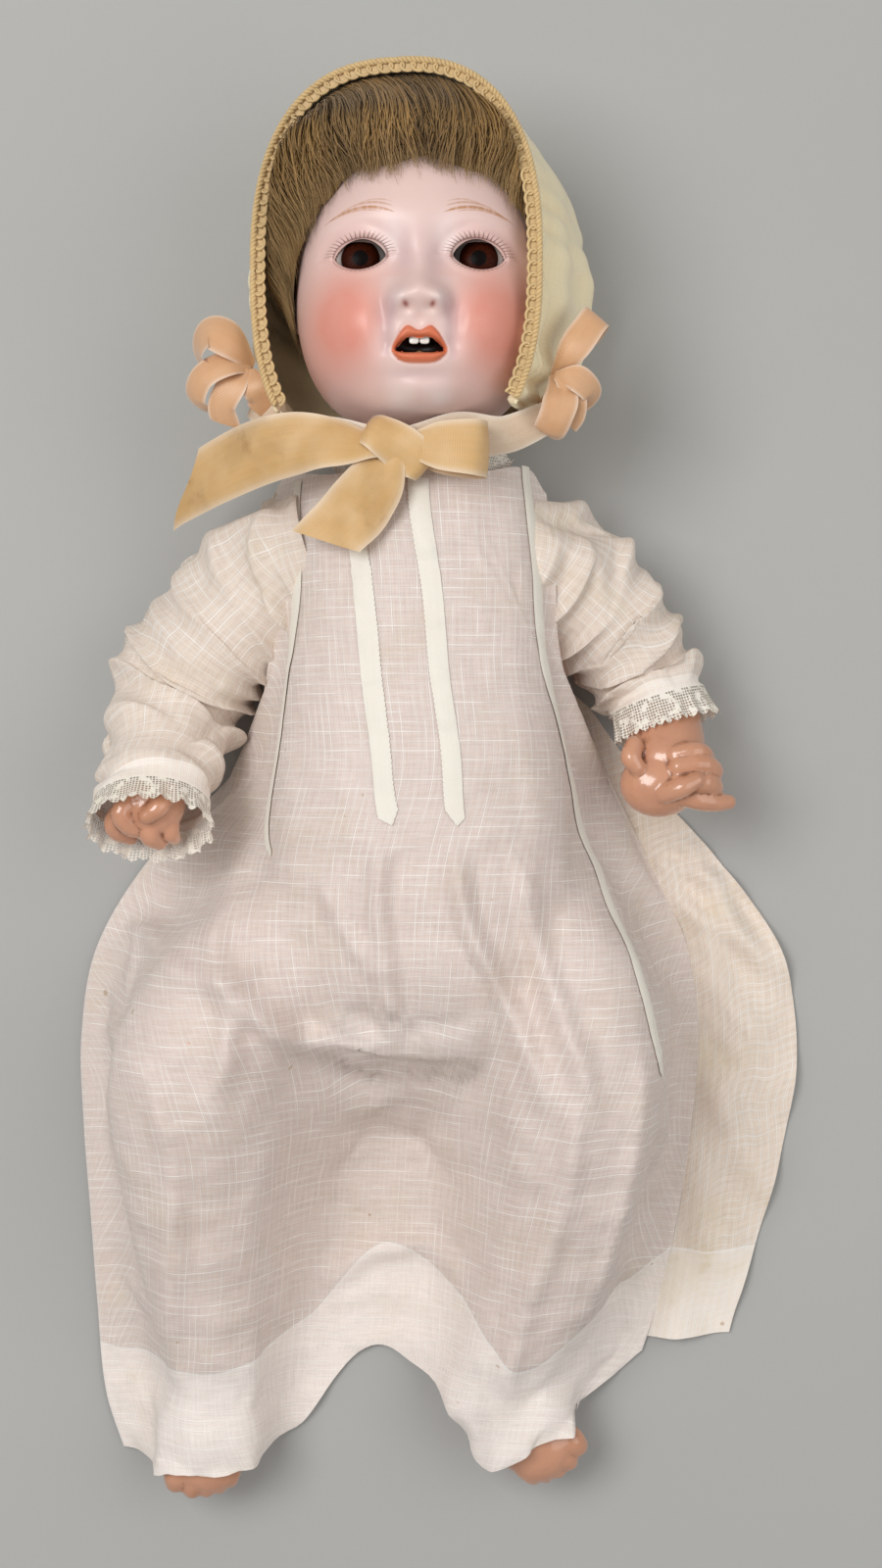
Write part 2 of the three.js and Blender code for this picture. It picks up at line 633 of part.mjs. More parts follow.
// Head. Its outline is a rounded box in plan and front view; the face is relief added to the front.
// Each form of the relief: rise, across (both sides unless 0), up, half width, half height.
const BROAD_FORMS = [
  [2, 0, 25, 26, 15],
  [-4.5, EYE_HALF_SPACING, EYE_HEIGHT, 11, 7.5],
  [-2.5, 9, EYE_HEIGHT - 2, 6, 7],
  [1.5, 22, 15, 14, 6],
  [5.5, 30, -25, 13, 13],
  [4, 0, -36, 15, 11],
  [6, 0, -52, 12, 7],
];
const FINE_FORMS = [
  [8.5, 0, -19, 5.4, 6],
  [3, 0, -8, 4.5, 8],
  [4.5, 7.4, -20.5, 3.6, 3.8],
  [-1.6, 14, -23, 3.2, 8],
  [2.3, 4.6, MOUTH_HEIGHT - MOUTH_DROP - 0.5, 4.8, 2.6],
  [2.4, 0, -MOUTH_DROP - MOUTH_HEIGHT * 0.85, 6.8, 2.8],
  [-0.9, 0, -28, 1.8, 3],
  [-2.6, 0, -47, 10, 3],
  [-1.4, 13, -36.5, 3, 3.4],
];

function relief(x, y, forms) {
  let sum = 0;
  for (const [rise, across, up, wide, tall] of forms) {
    const sides = across === 0 ? [0] : [-across, across];
    for (const middle of sides) {
      sum += rise * Math.exp(-0.5 * ((x - middle) / wide) ** 2 - 0.5 * ((y - up) / tall) ** 2);
    }
  }
  return sum;
}

function headPoint(turn, y, offset, forms) {
  const upper = y >= 0;
  const s = y / ((upper ? CROWN_RISE : CHIN_DROP) + offset);
  const wide = (HEAD_HALF_WIDTH + offset) * roundness(s, upper ? 2.2 : 2.6);
  const front = Math.cos(turn);
  const reach = front >= 0 ? FACE_DEPTH : NAPE_DEPTH;
  const power = front >= 0 ? (upper ? 2.3 : 3.2) : (upper ? 2.2 : 2.1);
  const deep = (reach + offset) * roundness(s, power);
  const x = wide * signedPower(Math.sin(turn), 2 / 2.15);
  const z = deep * signedPower(front, 2 / 2.15);
  return v3(x, y, z + relief(x, y, forms) * smooth(0, 0.35, front));
}

function headShape(offset, heights, columns, crowd, forms) {
  return loft(heights.map((y) => {
    const ring = [];
    for (let i = 0; i < columns; i++) {
      const even = 2 * Math.PI * i / columns;
      ring.push(headPoint(even - crowd * Math.sin(even), y, offset, forms));
    }
    return ring;
  }));
}

// Heights of rings spaced evenly by angle, for the plain shells.
function evenHeights(offset, rows) {
  const heights = [];
  for (let j = 0; j <= rows; j++) {
    const s = Math.sin(Math.PI / 2 * mix(-0.96, 0.96, j / rows));
    heights.push(s * ((s >= 0 ? CROWN_RISE : CHIN_DROP) + offset));
  }
  return heights;
}

// Heights for the bisque itself: close rings over the face, wider ones over the crown.
function faceHeights() {
  const heights = [-0.995 * CHIN_DROP];
  const steps = 20;
  for (let j = 0; j <= steps; j++) {
    heights.push(mix(-0.955 * CHIN_DROP, 0.2 * CROWN_RISE, j / steps));
  }
  for (let j = 1; j <= 5; j++) {
    heights.push(CROWN_RISE * Math.sin(mix(Math.asin(0.2), 1.5, j / 5)));
  }
  return heights;
}

// An opening in the face: an almond outline pushed through the front.
function almond(width, upper, lower) {
  const shape = new THREE.Shape();
  shape.moveTo(-width / 2, 0);
  shape.bezierCurveTo(-width * 0.3, upper * 1.33, width * 0.3, upper * 1.33, width / 2, 0);
  shape.bezierCurveTo(width * 0.3, -lower * 1.33, -width * 0.3, -lower * 1.33, -width / 2, 0);
  const through = new THREE.ExtrudeGeometry(shape, { depth: 50, curveSegments: 6, bevelEnabled: false });
  return through.translate(0, 0, 22);
}

const headGroup = bodyGroup('head', 0, HEAD_Y, HEAD_Z);
const neckInHead = v3(0, -HEAD_OVER_NECK, NECK_Z - HEAD_Z);
const bothSides = [-1, 1];
const earAt = (side) => v3(side * (HEAD_HALF_WIDTH - 1), -7, -9);
const crownPoint = v3(0, CROWN_CUT, 0);
const crownNormal = v3(0, Math.cos(CROWN_SLOPE), -Math.sin(CROWN_SLOPE));
const aboveCrown = solid(beyond(crownPoint, crownNormal));
const wholeFace = [...BROAD_FORMS, ...FINE_FORMS];
const innerShape = (offset) => headShape(offset, evenHeights(offset, 10), 16, 0.3, BROAD_FORMS);
const plainShell = (offset) => solid(headShape(offset, evenHeights(offset, 9), 18, 0, []));
const ballAt = (radius, x, y, z) => moved(ball(radius, 14, 9), x, y, z);
const eyeSlit = almond(EYE_SLIT_WIDTH, EYE_SLIT_HEIGHT * 0.55, EYE_SLIT_HEIGHT * 0.45);
const mouthSlit = almond(MOUTH_WIDTH, MOUTH_HEIGHT * 0.55, MOUTH_HEIGHT * 0.45);

let head = solid(headShape(0, faceHeights(), 38, 0.6, wholeFace))
  .add(solid(moved(ball(NECK_RADIUS, 16, 10), 0, neckInHead.y, neckInHead.z)));
for (const side of bothSides) {
  head = head.add(solid(moved(ellipsoid(...EAR_RADII, 8, 6), ...earAt(side).toArray())));
}
const neckInside = NECK_RADIUS - BISQUE_WALL + 1;
const cavity = solid(innerShape(-BISQUE_WALL))
  .add(solid(ballAt(neckInside, 0, neckInHead.y, neckInHead.z)));
head = head.subtract(cavity).subtract(aboveCrown);
for (const side of bothSides) {
  const x = side * EYE_HALF_SPACING;
  head = head.subtract(solid(moved(eyeSlit, x, EYE_HEIGHT, 0)));
  head = head.subtract(solid(moved(ballSeat(EYE_RADIUS), x, EYE_HEIGHT, EYE_DEPTH)));
}
head = head.subtract(solid(moved(mouthSlit, 0, -MOUTH_DROP, 0)));
const neckHole = bar(neckInHead.clone().add(v3(0, -40, 0)), neckInHead, NECK_HOLE_RADIUS, 16);
head = head.subtract(solid(neckHole));
piece(headGroup, 'bisque_head', head, bisque);

// Teeth: one small plate with two crowns, held behind the upper lip.
const teethZ = FACE_DEPTH - 6;
const toothTop = MOUTH_HEIGHT * 0.35 - MOUTH_DROP;
const toothShapes = bothSides.map((side) => {
  const crown = ellipsoid(TOOTH_WIDTH / 2, 2.6, 1.4, 8, 5);
  return moved(crown, side * (TOOTH_WIDTH / 2 - 0.2), toothTop - 0.4, teethZ);
});
const toothPlate = moved(new THREE.BoxGeometry(TOOTH_WIDTH * 2.4, 5, 1.4), 0, toothTop + 2.2, teethZ - 1.6);
const teeth = joined(...toothShapes, toothPlate).subtract(solidGrown(head));
piece(headGroup, 'upper_teeth', teeth, enamel);

// A piece that lies against another is cut back from it by the seat gap, from six sides.
function solidGrown(shape) {
  let grown = shape;
  for (const [x, y, z] of [[1, 0, 0], [-1, 0, 0], [0, 1, 0], [0, -1, 0], [0, 0, 1], [0, 0, -1]]) {
    grown = grown.add(shape.translate(x * SEAT_GAP, y * SEAT_GAP, z * SEAT_GAP));
  }
  return grown;
}

// Crown pate, wig cap and wig: shells at growing distances over the skull.
const pateEdge = crownPoint.clone().addScaledVector(crownNormal, SEAT_GAP);
const aboveCrownClear = solid(beyond(pateEdge, crownNormal));
const pate = plainShell(-0.6).subtract(plainShell(-3)).intersect(aboveCrownClear);
piece(headGroup, 'crown_pate', pate, card);

const faceOpening = new THREE.Shape();
faceOpening.moveTo(-FRINGE_HALF_WIDTH, -120);
faceOpening.lineTo(-FRINGE_HALF_WIDTH, 4);
faceOpening.bezierCurveTo(-FRINGE_HALF_WIDTH, 26, -26, FRINGE_HEIGHT, 0, FRINGE_HEIGHT);
faceOpening.bezierCurveTo(26, FRINGE_HEIGHT, FRINGE_HALF_WIDTH, 26, FRINGE_HALF_WIDTH, 4);
faceOpening.lineTo(FRINGE_HALF_WIDTH, -120);
const opening = new THREE.ExtrudeGeometry(faceOpening, { depth: 120, curveSegments: 5, bevelEnabled: false });
const faceCut = solid(opening.translate(0, 0, 10));
const hairline = solid(beyond(v3(0, FRINGE_HEIGHT + 3, 30), v3(0, -0.75, 0.65)));
const underHair = solid(beyond(v3(0, HAIR_HEM, 0), v3(0, -1, 0)));
const earRoom = ellipsoid(...EAR_RADII.map((r) => r + 2 * SEAT_GAP), 14, 10);
const ears = joined(...bothSides.map((side) => moved(earRoom, ...earAt(side).toArray())));
const cap = plainShell(CAP_OFFSET)
  .subtract(plainShell(CAP_INSIDE))
  .subtract(hairline)
  .subtract(faceCut)
  .subtract(ears)
  .subtract(underHair.translate(0, 8, 0));
piece(headGroup, 'wig_cap', cap, lace);
const wig = plainShell(HAIR_OUTSIDE)
  .subtract(plainShell(HAIR_INSIDE))
  .subtract(faceCut)
  .subtract(underHair)
  .subtract(ears);
piece(headGroup, 'mohair_wig', wig, mohair);

// Plaster pivots for the eye rocker, and the cork that stops its weight.
const axleEnd = EYE_HALF_SPACING + EYE_RADIUS + 0.4;
const roomInside = solid(innerShape(-BISQUE_WALL - SEAT_GAP - 0.3));
for (const [name, side] of [['left', 1], ['right', -1]]) {
  const behind = EYE_DEPTH - 6;
  const block = bar(v3(side * (axleEnd - 5), EYE_HEIGHT, behind), v3(side * 60, EYE_HEIGHT, behind), 8, 10);
  const boreEnd = v3(side * (axleEnd + SEAT_GAP), EYE_HEIGHT, EYE_DEPTH);
  const bore = bar(v3(0, EYE_HEIGHT, EYE_DEPTH), boreEnd, WIRE_RADIUS + SEAT_GAP);
  const clearOfEye = ballAt(EYE_RADIUS + 2 * SEAT_GAP, side * EYE_HALF_SPACING, EYE_HEIGHT, EYE_DEPTH);
  const pivot = solid(block).intersect(roomInside).subtract(solid(bore)).subtract(solid(clearOfEye));
  piece(headGroup, name + '_pivot', pivot, plaster);
}

// Sleep eyes: two glass balls on one rocker, turned by a hanging lead weight.
const eyeGroup = bodyGroup('sleep_eyes', 0, HEAD_Y + EYE_HEIGHT, HEAD_Z + EYE_DEPTH);
const axle = bar(v3(-axleEnd, 0, 0), v3(axleEnd, 0, 0), WIRE_RADIUS);
const weightAt = v3(0, -WEIGHT_DROP, -0.3 * WEIGHT_DROP);
const stem = bar(v3(0, 0, 0), weightAt, WIRE_RADIUS);
piece(eyeGroup, 'eye_rocker', joined(axle, stem), steel);
for (const [name, side] of [['left', 1], ['right', -1]]) {
  const eyeball = ballAt(EYE_RADIUS, side * EYE_HALF_SPACING, 0, 0);
  const bore = bar(v3(side * 2, 0, 0), v3(side * 50, 0, 0), WIRE_RADIUS + SEAT_GAP);
  piece(eyeGroup, name + '_eye', solid(eyeball).subtract(solid(bore)), glass);
}
const stemBore = bar(v3(0, 0, 0), weightAt.clone().multiplyScalar(1.02), WIRE_RADIUS + SEAT_GAP);
const weightShape = ellipsoid(WEIGHT_RADIUS, WEIGHT_RADIUS * 1.1, WEIGHT_RADIUS, 10, 7);
const weight = solid(moved(weightShape, ...weightAt.toArray())).subtract(solid(stemBore));
piece(eyeGroup, 'eye_weight', weight, lead);

const stopY = EYE_HEIGHT + weightAt.y - WEIGHT_RADIUS * 0.9;
const stopBar = bar(v3(0, stopY, EYE_DEPTH + weightAt.z), v3(0, stopY, FACE_DEPTH + 10), 4.5, 10);
const roomRadius = WEIGHT_RADIUS + SEAT_GAP;
const weightRoom = ellipsoid(roomRadius, WEIGHT_RADIUS * 1.1 + SEAT_GAP, roomRadius, 14, 10)
  .translate(0, EYE_HEIGHT + weightAt.y, EYE_DEPTH + weightAt.z);
const stop = solid(stopBar).intersect(roomInside).subtract(solid(weightRoom))
  .subtract(solid(beyond(v3(0, 0, EYE_DEPTH + weightAt.z + 3), v3(0, 0, -1))));
piece(headGroup, 'weight_stop', stop, cork);

// Neck: a turned button inside the neck ball and the hook that the leg elastic pulls on.
const neckGroup = bodyGroup('neck', 0, NECK_Y, NECK_Z);
const buttonRadius = neckInside - 2 * SEAT_GAP;
const buttonHoleRadius = WIRE_RADIUS + SEAT_GAP;
const buttonTop = -buttonRadius * 0.45;
const profile = [new THREE.Vector2(buttonHoleRadius, buttonTop)];
const rimRadius = Math.sqrt(buttonRadius ** 2 - buttonTop ** 2);
profile.push(new THREE.Vector2(rimRadius - 2, buttonTop));
for (let j = 0; j <= 4; j++) {
  const x = mix(rimRadius, NECK_HOLE_RADIUS - 1.5, j / 4);
  profile.push(new THREE.Vector2(x, -Math.sqrt(buttonRadius ** 2 - x ** 2)));
}
const shoulder = -Math.sqrt(buttonRadius ** 2 - (NECK_HOLE_RADIUS - 1.5) ** 2);
profile.push(new THREE.Vector2(buttonHoleRadius, shoulder));
profile.push(profile[0].clone());
const turned = new THREE.LatheGeometry(profile, 14);
piece(neckGroup, 'neck_button', solid(facingOut(turned)), wood);

function facingOut(geometry) {
  const bare = geometry.clone();
  bare.deleteAttribute('normal');
  bare.deleteAttribute('uv');
  const merged = mergeVertices(bare, 1e-4);
  const points = [];
  for (let i = 0; i < merged.attributes.position.count; i++) {
    points.push(v3().fromBufferAttribute(merged.attributes.position, i));
  }
  return outward(points, Array.from(merged.index.array));
}

const barY = buttonTop + WIRE_RADIUS + SEAT_GAP;
const neckEye = v3(0, neckEyeY - NECK_Y, 0);
const crossbar = bar(v3(-9, barY, 0), v3(9, barY, 0), WIRE_RADIUS);
const neckHook = hook(neckEye, v3(0, barY, 0), v3(1, 0, 0), NECK_RING_RADIUS).add(solid(crossbar));
piece(neckGroup, 'neck_hook', neckHook, steel);

// Bonnet: rings from the back of the head to the front edge, which is turned and shifted.
const rimTilt = Math.tan(RIM_TURN);

function bonnetRing(t, inset, sides) {
  const full = smooth(0.45, 1, t);
  const back = t < 0.45 ? roundness(1 - t / 0.45, 2.3) : 1;
  const wide = Math.max(1, mix(BONNET_HALF_WIDTH, RIM_HALF_WIDTH, full) * back - inset);
  const tall = Math.max(1, mix(BONNET_RISE * 0.97, BONNET_RISE, full) * back - inset);
  const ring = [];
  for (let i = 0; i < sides; i++) {
    const angle = 2 * Math.PI * i / sides;
    const x = RIM_SHIFT * full + wide * Math.cos(angle);
    const y = HEAD_Y + tall * Math.sin(angle);
    const level = BONNET_FLOOR + inset * (1 - full) + (RIM_HEIGHT - BONNET_FLOOR) * t;
    const z = level + x * rimTilt * full;
    ring.push(v3(x, y, z));
  }
  return ring;
}

const BONNET_SIDES = 22;
const BONNET_STOPS = [0.006, 0.04, 0.12, 0.26, 0.45, 0.7, 1];
const bonnetOutside = loft(BONNET_STOPS.map((t) => bonnetRing(t, 0, BONNET_SIDES)));
const innerStops = [...BONNET_STOPS.slice(0, -1), 1.03];
const bonnetInside = loft(innerStops.map((t) => bonnetRing(t, BONNET_CLOTH, BONNET_SIDES)));
const underBonnet = solid(beyond(v3(0, BONNET_HEM_Y, 0), v3(0, -1, 0)));
const bonnet = solid(bonnetOutside).subtract(solid(bonnetInside)).subtract(underBonnet);
const headCloth = bodyGroup('head_cloth', 0, 0, 0);
piece(headCloth, 'bonnet_shell', bonnet, bonnetCloth);

// Braid along the front edge, from one lower corner over the top to the other.
const rimPoint = (angle, forward) => v3(
  RIM_SHIFT + (RIM_HALF_WIDTH - BONNET_CLOTH / 2) * Math.cos(angle),
  HEAD_Y + (BONNET_RISE - BONNET_CLOTH / 2) * Math.sin(angle),
  RIM_HEIGHT + forward + (RIM_SHIFT + RIM_HALF_WIDTH * Math.cos(angle)) * rimTilt,
);
const cornerAngle = Math.asin((BONNET_HEM_Y + BRAID_RADIUS - HEAD_Y) / BONNET_RISE);
const braidPath = [];
for (let j = 0; j <= 12; j++) {
  braidPath.push(rimPoint(mix(Math.PI - cornerAngle, cornerAngle, j / 12), BRAID_RADIUS + 2 * SEAT_GAP));
}
const braidSection = new THREE.Shape().absarc(0, 0, BRAID_RADIUS, 0, 2 * Math.PI);
const braid = new THREE.ExtrudeGeometry(braidSection, {
  steps: 26, curveSegments: 3, bevelEnabled: false, extrudePath: new THREE.CatmullRomCurve3(braidPath),
});
piece(headCloth, 'bonnet_braid', solid(braid), lace);

// A ribbon loop: out along X, round and back, with the ribbon's width along Y.
function ribbonLoop(length, height, width, turn) {
  const path = [
    v3(2, 0, RIBBON),
    v3(length * 0.4, 0, height * 0.42),
    v3(length * 0.85, 0, height / 2),
    v3(length, 0, 0),
    v3(length * 0.85, 0, -height / 2),
    v3(length * 0.4, 0, -height * 0.42),
    v3(2, 0, -RIBBON),
  ];
  return band(path, path.map(() => v3(0, 1, 0)), width, RIBBON, 8).applyMatrix4(turn);
}

// Rosettes: three loops and a small knot at each lower corner of the bonnet.
const ROSETTE_LOOP = 25;
const LOOP_HEIGHT = 5;
const LOOP_PITCH = LOOP_HEIGHT + RIBBON + 0.6; // the loops lie on one another
const rosetteAt = {
  left: v3(RIM_SHIFT + RIM_HALF_WIDTH + 6.5, BONNET_HEM_Y + 10, RIM_HEIGHT - 12),
  right: v3(RIM_SHIFT - RIM_HALF_WIDTH - 1.2, BONNET_HEM_Y + 13, RIM_HEIGHT - 26),
};
const ROSETTE_ANGLES = { left: [62, -8, -78], right: [100, 172, 228] };
for (const name of ['left', 'right']) {
  const loops = ROSETTE_ANGLES[name].map((degrees, n) => {
    const turn = new THREE.Matrix4().makeTranslation(0, 0, (n - 1) * LOOP_PITCH);
    turn.multiply(new THREE.Matrix4().makeRotationZ(degrees * Math.PI / 180));
    return solid(ribbonLoop(ROSETTE_LOOP, LOOP_HEIGHT, RIBBON_WIDTH * 0.6, turn));
  });
  const tiedMiddle = solid(ellipsoid(5, 5, LOOP_PITCH * 1.6, 6, 5));
  const rosette = loops.reduce((all, one) => all.add(one), tiedMiddle);
  const mesh = piece(headCloth, name + '_rosette', rosette, peach);
  mesh.position.copy(rosetteAt[name]);
}

// Gown. The front hangs over chest, belly and legs; the back lies flat, fanned out at the doll's left.
const supports = [];
for (let j = 0; j <= 9; j++) {
  const y = mix(TORSO_TOP - 12, TORSO_BOTTOM + 14, j / 9);
  const size = torsoSize(y);
  const radius = Math.min(size.wide, size.deep);
  for (const x of [-1, -0.4, 0.4, 1]) {
    const at = v3(x * (size.wide - radius), y, seamZ + size.deep - radius);
    supports.push({ at, radius: radius + 1.8 });
  }
}
for (const name of ['left', 'right']) {
  for (let j = 0; j <= 16; j++) {
    const t = j / 16;
    const at = limbs[name].legCurve.getPoint(t).add(hipCentre(limbs[name].side));
    supports.push({ at, radius: legRadius(t) });
  }
  const aim = FOOT_AIM[name].clone().normalize();
  const ankle = limbs[name].legCurve.getPoint(1).add(hipCentre(limbs[name].side));
  const across = v3(-aim.y, aim.x, 0);
  for (const [reach, aside] of [[10, 0], [24, -5], [24, 5], [40, -8], [40, 8]]) {
    const at = ankle.clone().addScaledVector(aim, reach).addScaledVector(across, aside);
    supports.push({ at, radius: 17 - reach * 0.12 });
  }
}
const HANG_SLOPE = 62 * Math.PI / 180; // cloth leaves a support where it gets this steep
const CLOTH_CLEAR = 4; // cloth over its supports, so that its flat facets stay clear

function hang(x, y) {
  let sum = 0;
  for (const { at, radius } of supports) {
    const r = radius + CLOTH_CLEAR;
    const far = Math.hypot(x - at.x, y - at.y);
    const edge = r * Math.sin(HANG_SLOPE);
    const height = far < edge
      ? at.z + Math.sqrt(r * r - far * far)
      : at.z + r * Math.cos(HANG_SLOPE) - (far - edge) * Math.tan(HANG_SLOPE);
    sum += Math.exp(Math.max(-40, height) / 2.5);
  }
  return 2.5 * Math.log(sum) - 2.5 * Math.log(3);
}

// Side edges of the front and its hem, as smooth lines: values at even steps from neck to hem.
const NECK_EDGE_Y = TORSO_TOP - 4;
const LEFT_EDGE = [49, 52, 53, 78, 98, 116, 121, 118, 112, 103, 90, 76];
const RIGHT_EDGE = [-49, -52, -53, -78, -118, -142, -149, -148, -145, -142, -138, -128];
const EDGE_END_Y = -306;
const HEM = [-303, -304, -299, -286, -254, -240, -242, -262, -289, -286, -262];
const EDGE_Z = BACK_Z + 0.5;

function edgeAt(values, y) {
  return along(values, (NECK_EDGE_Y - y) / (NECK_EDGE_Y - EDGE_END_Y));
}

function gownPoint(s, t) {
  const hem = along(HEM, (s + 1) / 2);
  const neck = NECK_EDGE_Y - 16 * (1 - s * s) * 0.2;
  const y = mix(neck, hem, t);
  const right = edgeAt(RIGHT_EDGE, y);
  const left = edgeAt(LEFT_EDGE, y);
  const crowd = Math.sin(Math.PI / 2 * s) * 0.55 + s * 0.45;
  const x = mix(right, left, (crowd + 1) / 2);
  const skirt = smooth(-20, -120, y);
  const fold = skirt * (2.6 * Math.sin(0.085 * x - 0.03 * y) + 1.6 * Math.sin(0.19 * x + 0.045 * y));
  const edge = smooth(1, 0.86, Math.abs(s));
  const z = Math.max(EDGE_Z, hang(x, y) + (fold + 2.4 * skirt) * edge);
  return v3(x, y, z);
}

// Which way the cloth faces at s, t, so that it is as thick on its steep sides as on its top.
function gownFacing(s, t) {
  const step = 0.02;
  const across = gownPoint(s + step, t).sub(gownPoint(s - step, t));
  const down = gownPoint(s, t + step).sub(gownPoint(s, t - step));
  return down.cross(across).normalize();
}

const GOWN_ROWS = 23;
const GOWN_COLUMNS = 19;
const gownGrid = (lift) => {
  const rows = [];
  for (let j = 0; j <= GOWN_ROWS; j++) {
    const row = [];
    for (let i = 0; i <= GOWN_COLUMNS; i++) {
      const s = mix(-1, 1, i / GOWN_COLUMNS);
      const t = j / GOWN_ROWS;
      row.push(gownPoint(s, t).addScaledVector(gownFacing(s, t), lift));
    }
    rows.push(row);
  }
  return rows;
};
piece(trunk, 'gown_front', sheet(gownGrid(LAWN), gownGrid(0)), lawn);

const TRIM_LIFT = 2.4 * SEAT_GAP;
const TAPE = 0.8;

// A point on the facets of the gown front, which the trims sewn on it follow.
const gownTop = gownGrid(LAWN);

function onGown(s, t) {
  const i = clamp((s + 1) / 2) * GOWN_COLUMNS;
  const j = clamp(t) * GOWN_ROWS;
  const i0 = Math.min(GOWN_COLUMNS - 1, Math.floor(i));
  const j0 = Math.min(GOWN_ROWS - 1, Math.floor(j));
  const upper = gownTop[j0][i0].clone().lerp(gownTop[j0][i0 + 1], i - i0);
  const lower = gownTop[j0 + 1][i0].clone().lerp(gownTop[j0 + 1][i0 + 1], i - i0);
  return upper.lerp(lower, j - j0);
}

function trimLine(name, sFrom, sTo, rowFrom, rowTo) {
  const upper = [];
  const lower = [];
  const step = 0.01;
  for (let row = rowFrom; row <= rowTo; row++) {
    const s = mix(sFrom, sTo, (row - rowFrom) / (rowTo - rowFrom));
    const t = row / GOWN_ROWS;
    const across = onGown(s + step, t).sub(onGown(s - step, t));
    const down = onGown(s, t + step).sub(onGown(s, t - step));
    const normal = down.cross(across).normalize();
    const half = step * TAPE_WIDTH / across.length();
    const edge = [-half, 0, half].map((aside) => onGown(s + aside, t));
    lower.push(edge.map((p) => p.clone().addScaledVector(normal, TRIM_LIFT)));
    upper.push(edge.map((p) => p.clone().addScaledVector(normal, TRIM_LIFT + TAPE)));
  }
  piece(trunk, name, sheet(upper, lower), lace);
}
trimLine('left_tape', 0.16, 0.11, 1, 9);
trimLine('right_tape', -0.38, -0.12, 3, 9);
trimLine('left_band', 0.8, 0.7, 2, 14);
trimLine('right_band', -0.8, -0.64, 2, 7);

const BACK_EDGE_LEFT = [50, 54, 66, 92, 128, 156, 164, 160, 150, 138, 124, 84];
const BACK_ROWS = 14;
const BACK_COLUMNS = 12;
const FAN_HEIGHT = 9;

function backPoint(s, t) {
  const hem = along([-300, -302, -300, -292, -262, -244, -244, -244, -243, -242, -240], (s + 1) / 2);
  const y = mix(NECK_EDGE_Y - 4, hem, t);
  const right = edgeAt(RIGHT_EDGE, y) + 1;
  const left = edgeAt(BACK_EDGE_LEFT, y);
  const x = mix(right, left, (s + 1) / 2);
  const free = smooth(edgeAt(LEFT_EDGE, y) + 2, edgeAt(LEFT_EDGE, y) + 14, x) * smooth(10, -40, y);
  const around = Math.atan2(y + 20, x - 40);
  const fold = FAN_HEIGHT * free * (0.5 + 0.5 * Math.sin(17 * around));
  return v3(x, y, fold);
}

const backGrid = (lift) => {
  const rows = [];
  for (let j = 0; j <= BACK_ROWS; j++) {
    const row = [];
    for (let i = 0; i <= BACK_COLUMNS; i++) {
      const even = i / BACK_COLUMNS;
      const point = backPoint(mix(-1, 1, even ** 0.75), j / BACK_ROWS);
      row.push(v3(point.x, point.y, lift === 0 ? Math.max(0, point.z - LAWN) : point.z + lift));
    }
    rows.push(row);
  }
  return rows;
};
piece(trunk, 'gown_back', sheet(backGrid(LAWN), backGrid(0)), lawn);

// Lace standing round the neckline, open at the back where the gown buttons.
const neckPoints = [];
const neckWidths = [];
for (let j = 0; j <= 10; j++) {
  const angle = mix(-0.35, Math.PI + 0.35, j / 10);
  neckPoints.push(v3(34 * Math.cos(angle), NECK_EDGE_Y + 2.4, NECK_Z - 2 + 34 * Math.sin(angle)));
  neckWidths.push(v3(0.35 * Math.cos(angle), 1, 0.35 * Math.sin(angle)));
}
piece(trunk, 'neck_lace', band(neckPoints, neckWidths, 8, 1, 20), lace);

// Bow under the chin and the ties that run to it from the bonnet's corners.
const knotAt = v3(RIM_SHIFT - 1, NECK_Y + 2.5, BACK_Z + TORSO_DEPTH + 2.4);
piece(trunk, 'bow_knot', moved(ellipsoid(8, 6.5, 5.5, 10, 6), ...knotAt.toArray()), silk);
const bowLoop = ribbonLoop(32, 13, RIBBON_WIDTH - 4, new THREE.Matrix4().makeRotationX(0.3));
const loopMesh = piece(trunk, 'bow_loop', joined(bowLoop, ellipsoid(3.4, 4, 2.6, 8, 5)), silk);
loopMesh.position.copy(knotAt).add(v3(11.8, -1, -1));
const onKnot = (x, y, z) => knotAt.clone().add(v3(x, y, z));
const onRosette = (name, x, y, z) => rosetteAt[name].clone().add(v3(x, y, z));
piece(trunk, 'bow_right_tail', band(
  [onKnot(-8.7, -1, 0), onKnot(-34, -6, -1), onKnot(-62, -15, -14), onKnot(-92, -28, -27)],
  [v3(0.1, 1, -0.1), v3(0.25, 1, 0), v3(0.35, 1, 0), v3(0.4, 1, 0)],
  RIBBON_WIDTH, RIBBON, 12,
), silk);
piece(trunk, 'bow_left_tail', band(
  [onKnot(-1, -6.7, -2), onKnot(-6, -19, -4.5), onKnot(-15, -32, -5), onKnot(-30, -46, -6)],
  [v3(1, 0.1, 0), v3(1, -0.3, 0.05), v3(1, -0.6, 0.15), v3(1, -0.6, 0.25)],
  RIBBON_WIDTH, RIBBON, 10,
), silk);
piece(headCloth, 'left_tie', band(
  [onRosette('left', -5, -12, -2), onKnot(45, 5, -19), onKnot(25, 3.5, -13), onKnot(5, 2, -10.2)],
  [v3(0.3, 0.5, 1), v3(0, 0.2, 1), v3(0, 0.1, 1), v3(0, 0.2, 1)],
  RIBBON_WIDTH * 0.5, RIBBON, 10,
), silk);
piece(headCloth, 'right_tie', band(
  [onRosette('right', 5.6, -8.6, 2), onKnot(-43, 7.5, -23), onKnot(-23, 4.5, -17), onKnot(-4, 2, -10.4)],
  [v3(-0.3, 0.5, 1), v3(0, 0.2, 1), v3(0, 0.1, 1), v3(0, 0.2, 1)],
  RIBBON_WIDTH * 0.5, RIBBON, 10,
), silk);

export default doll;
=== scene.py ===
"""Porcelain baby doll: the dressed look of the part, built piece by piece over its CAD frame."""

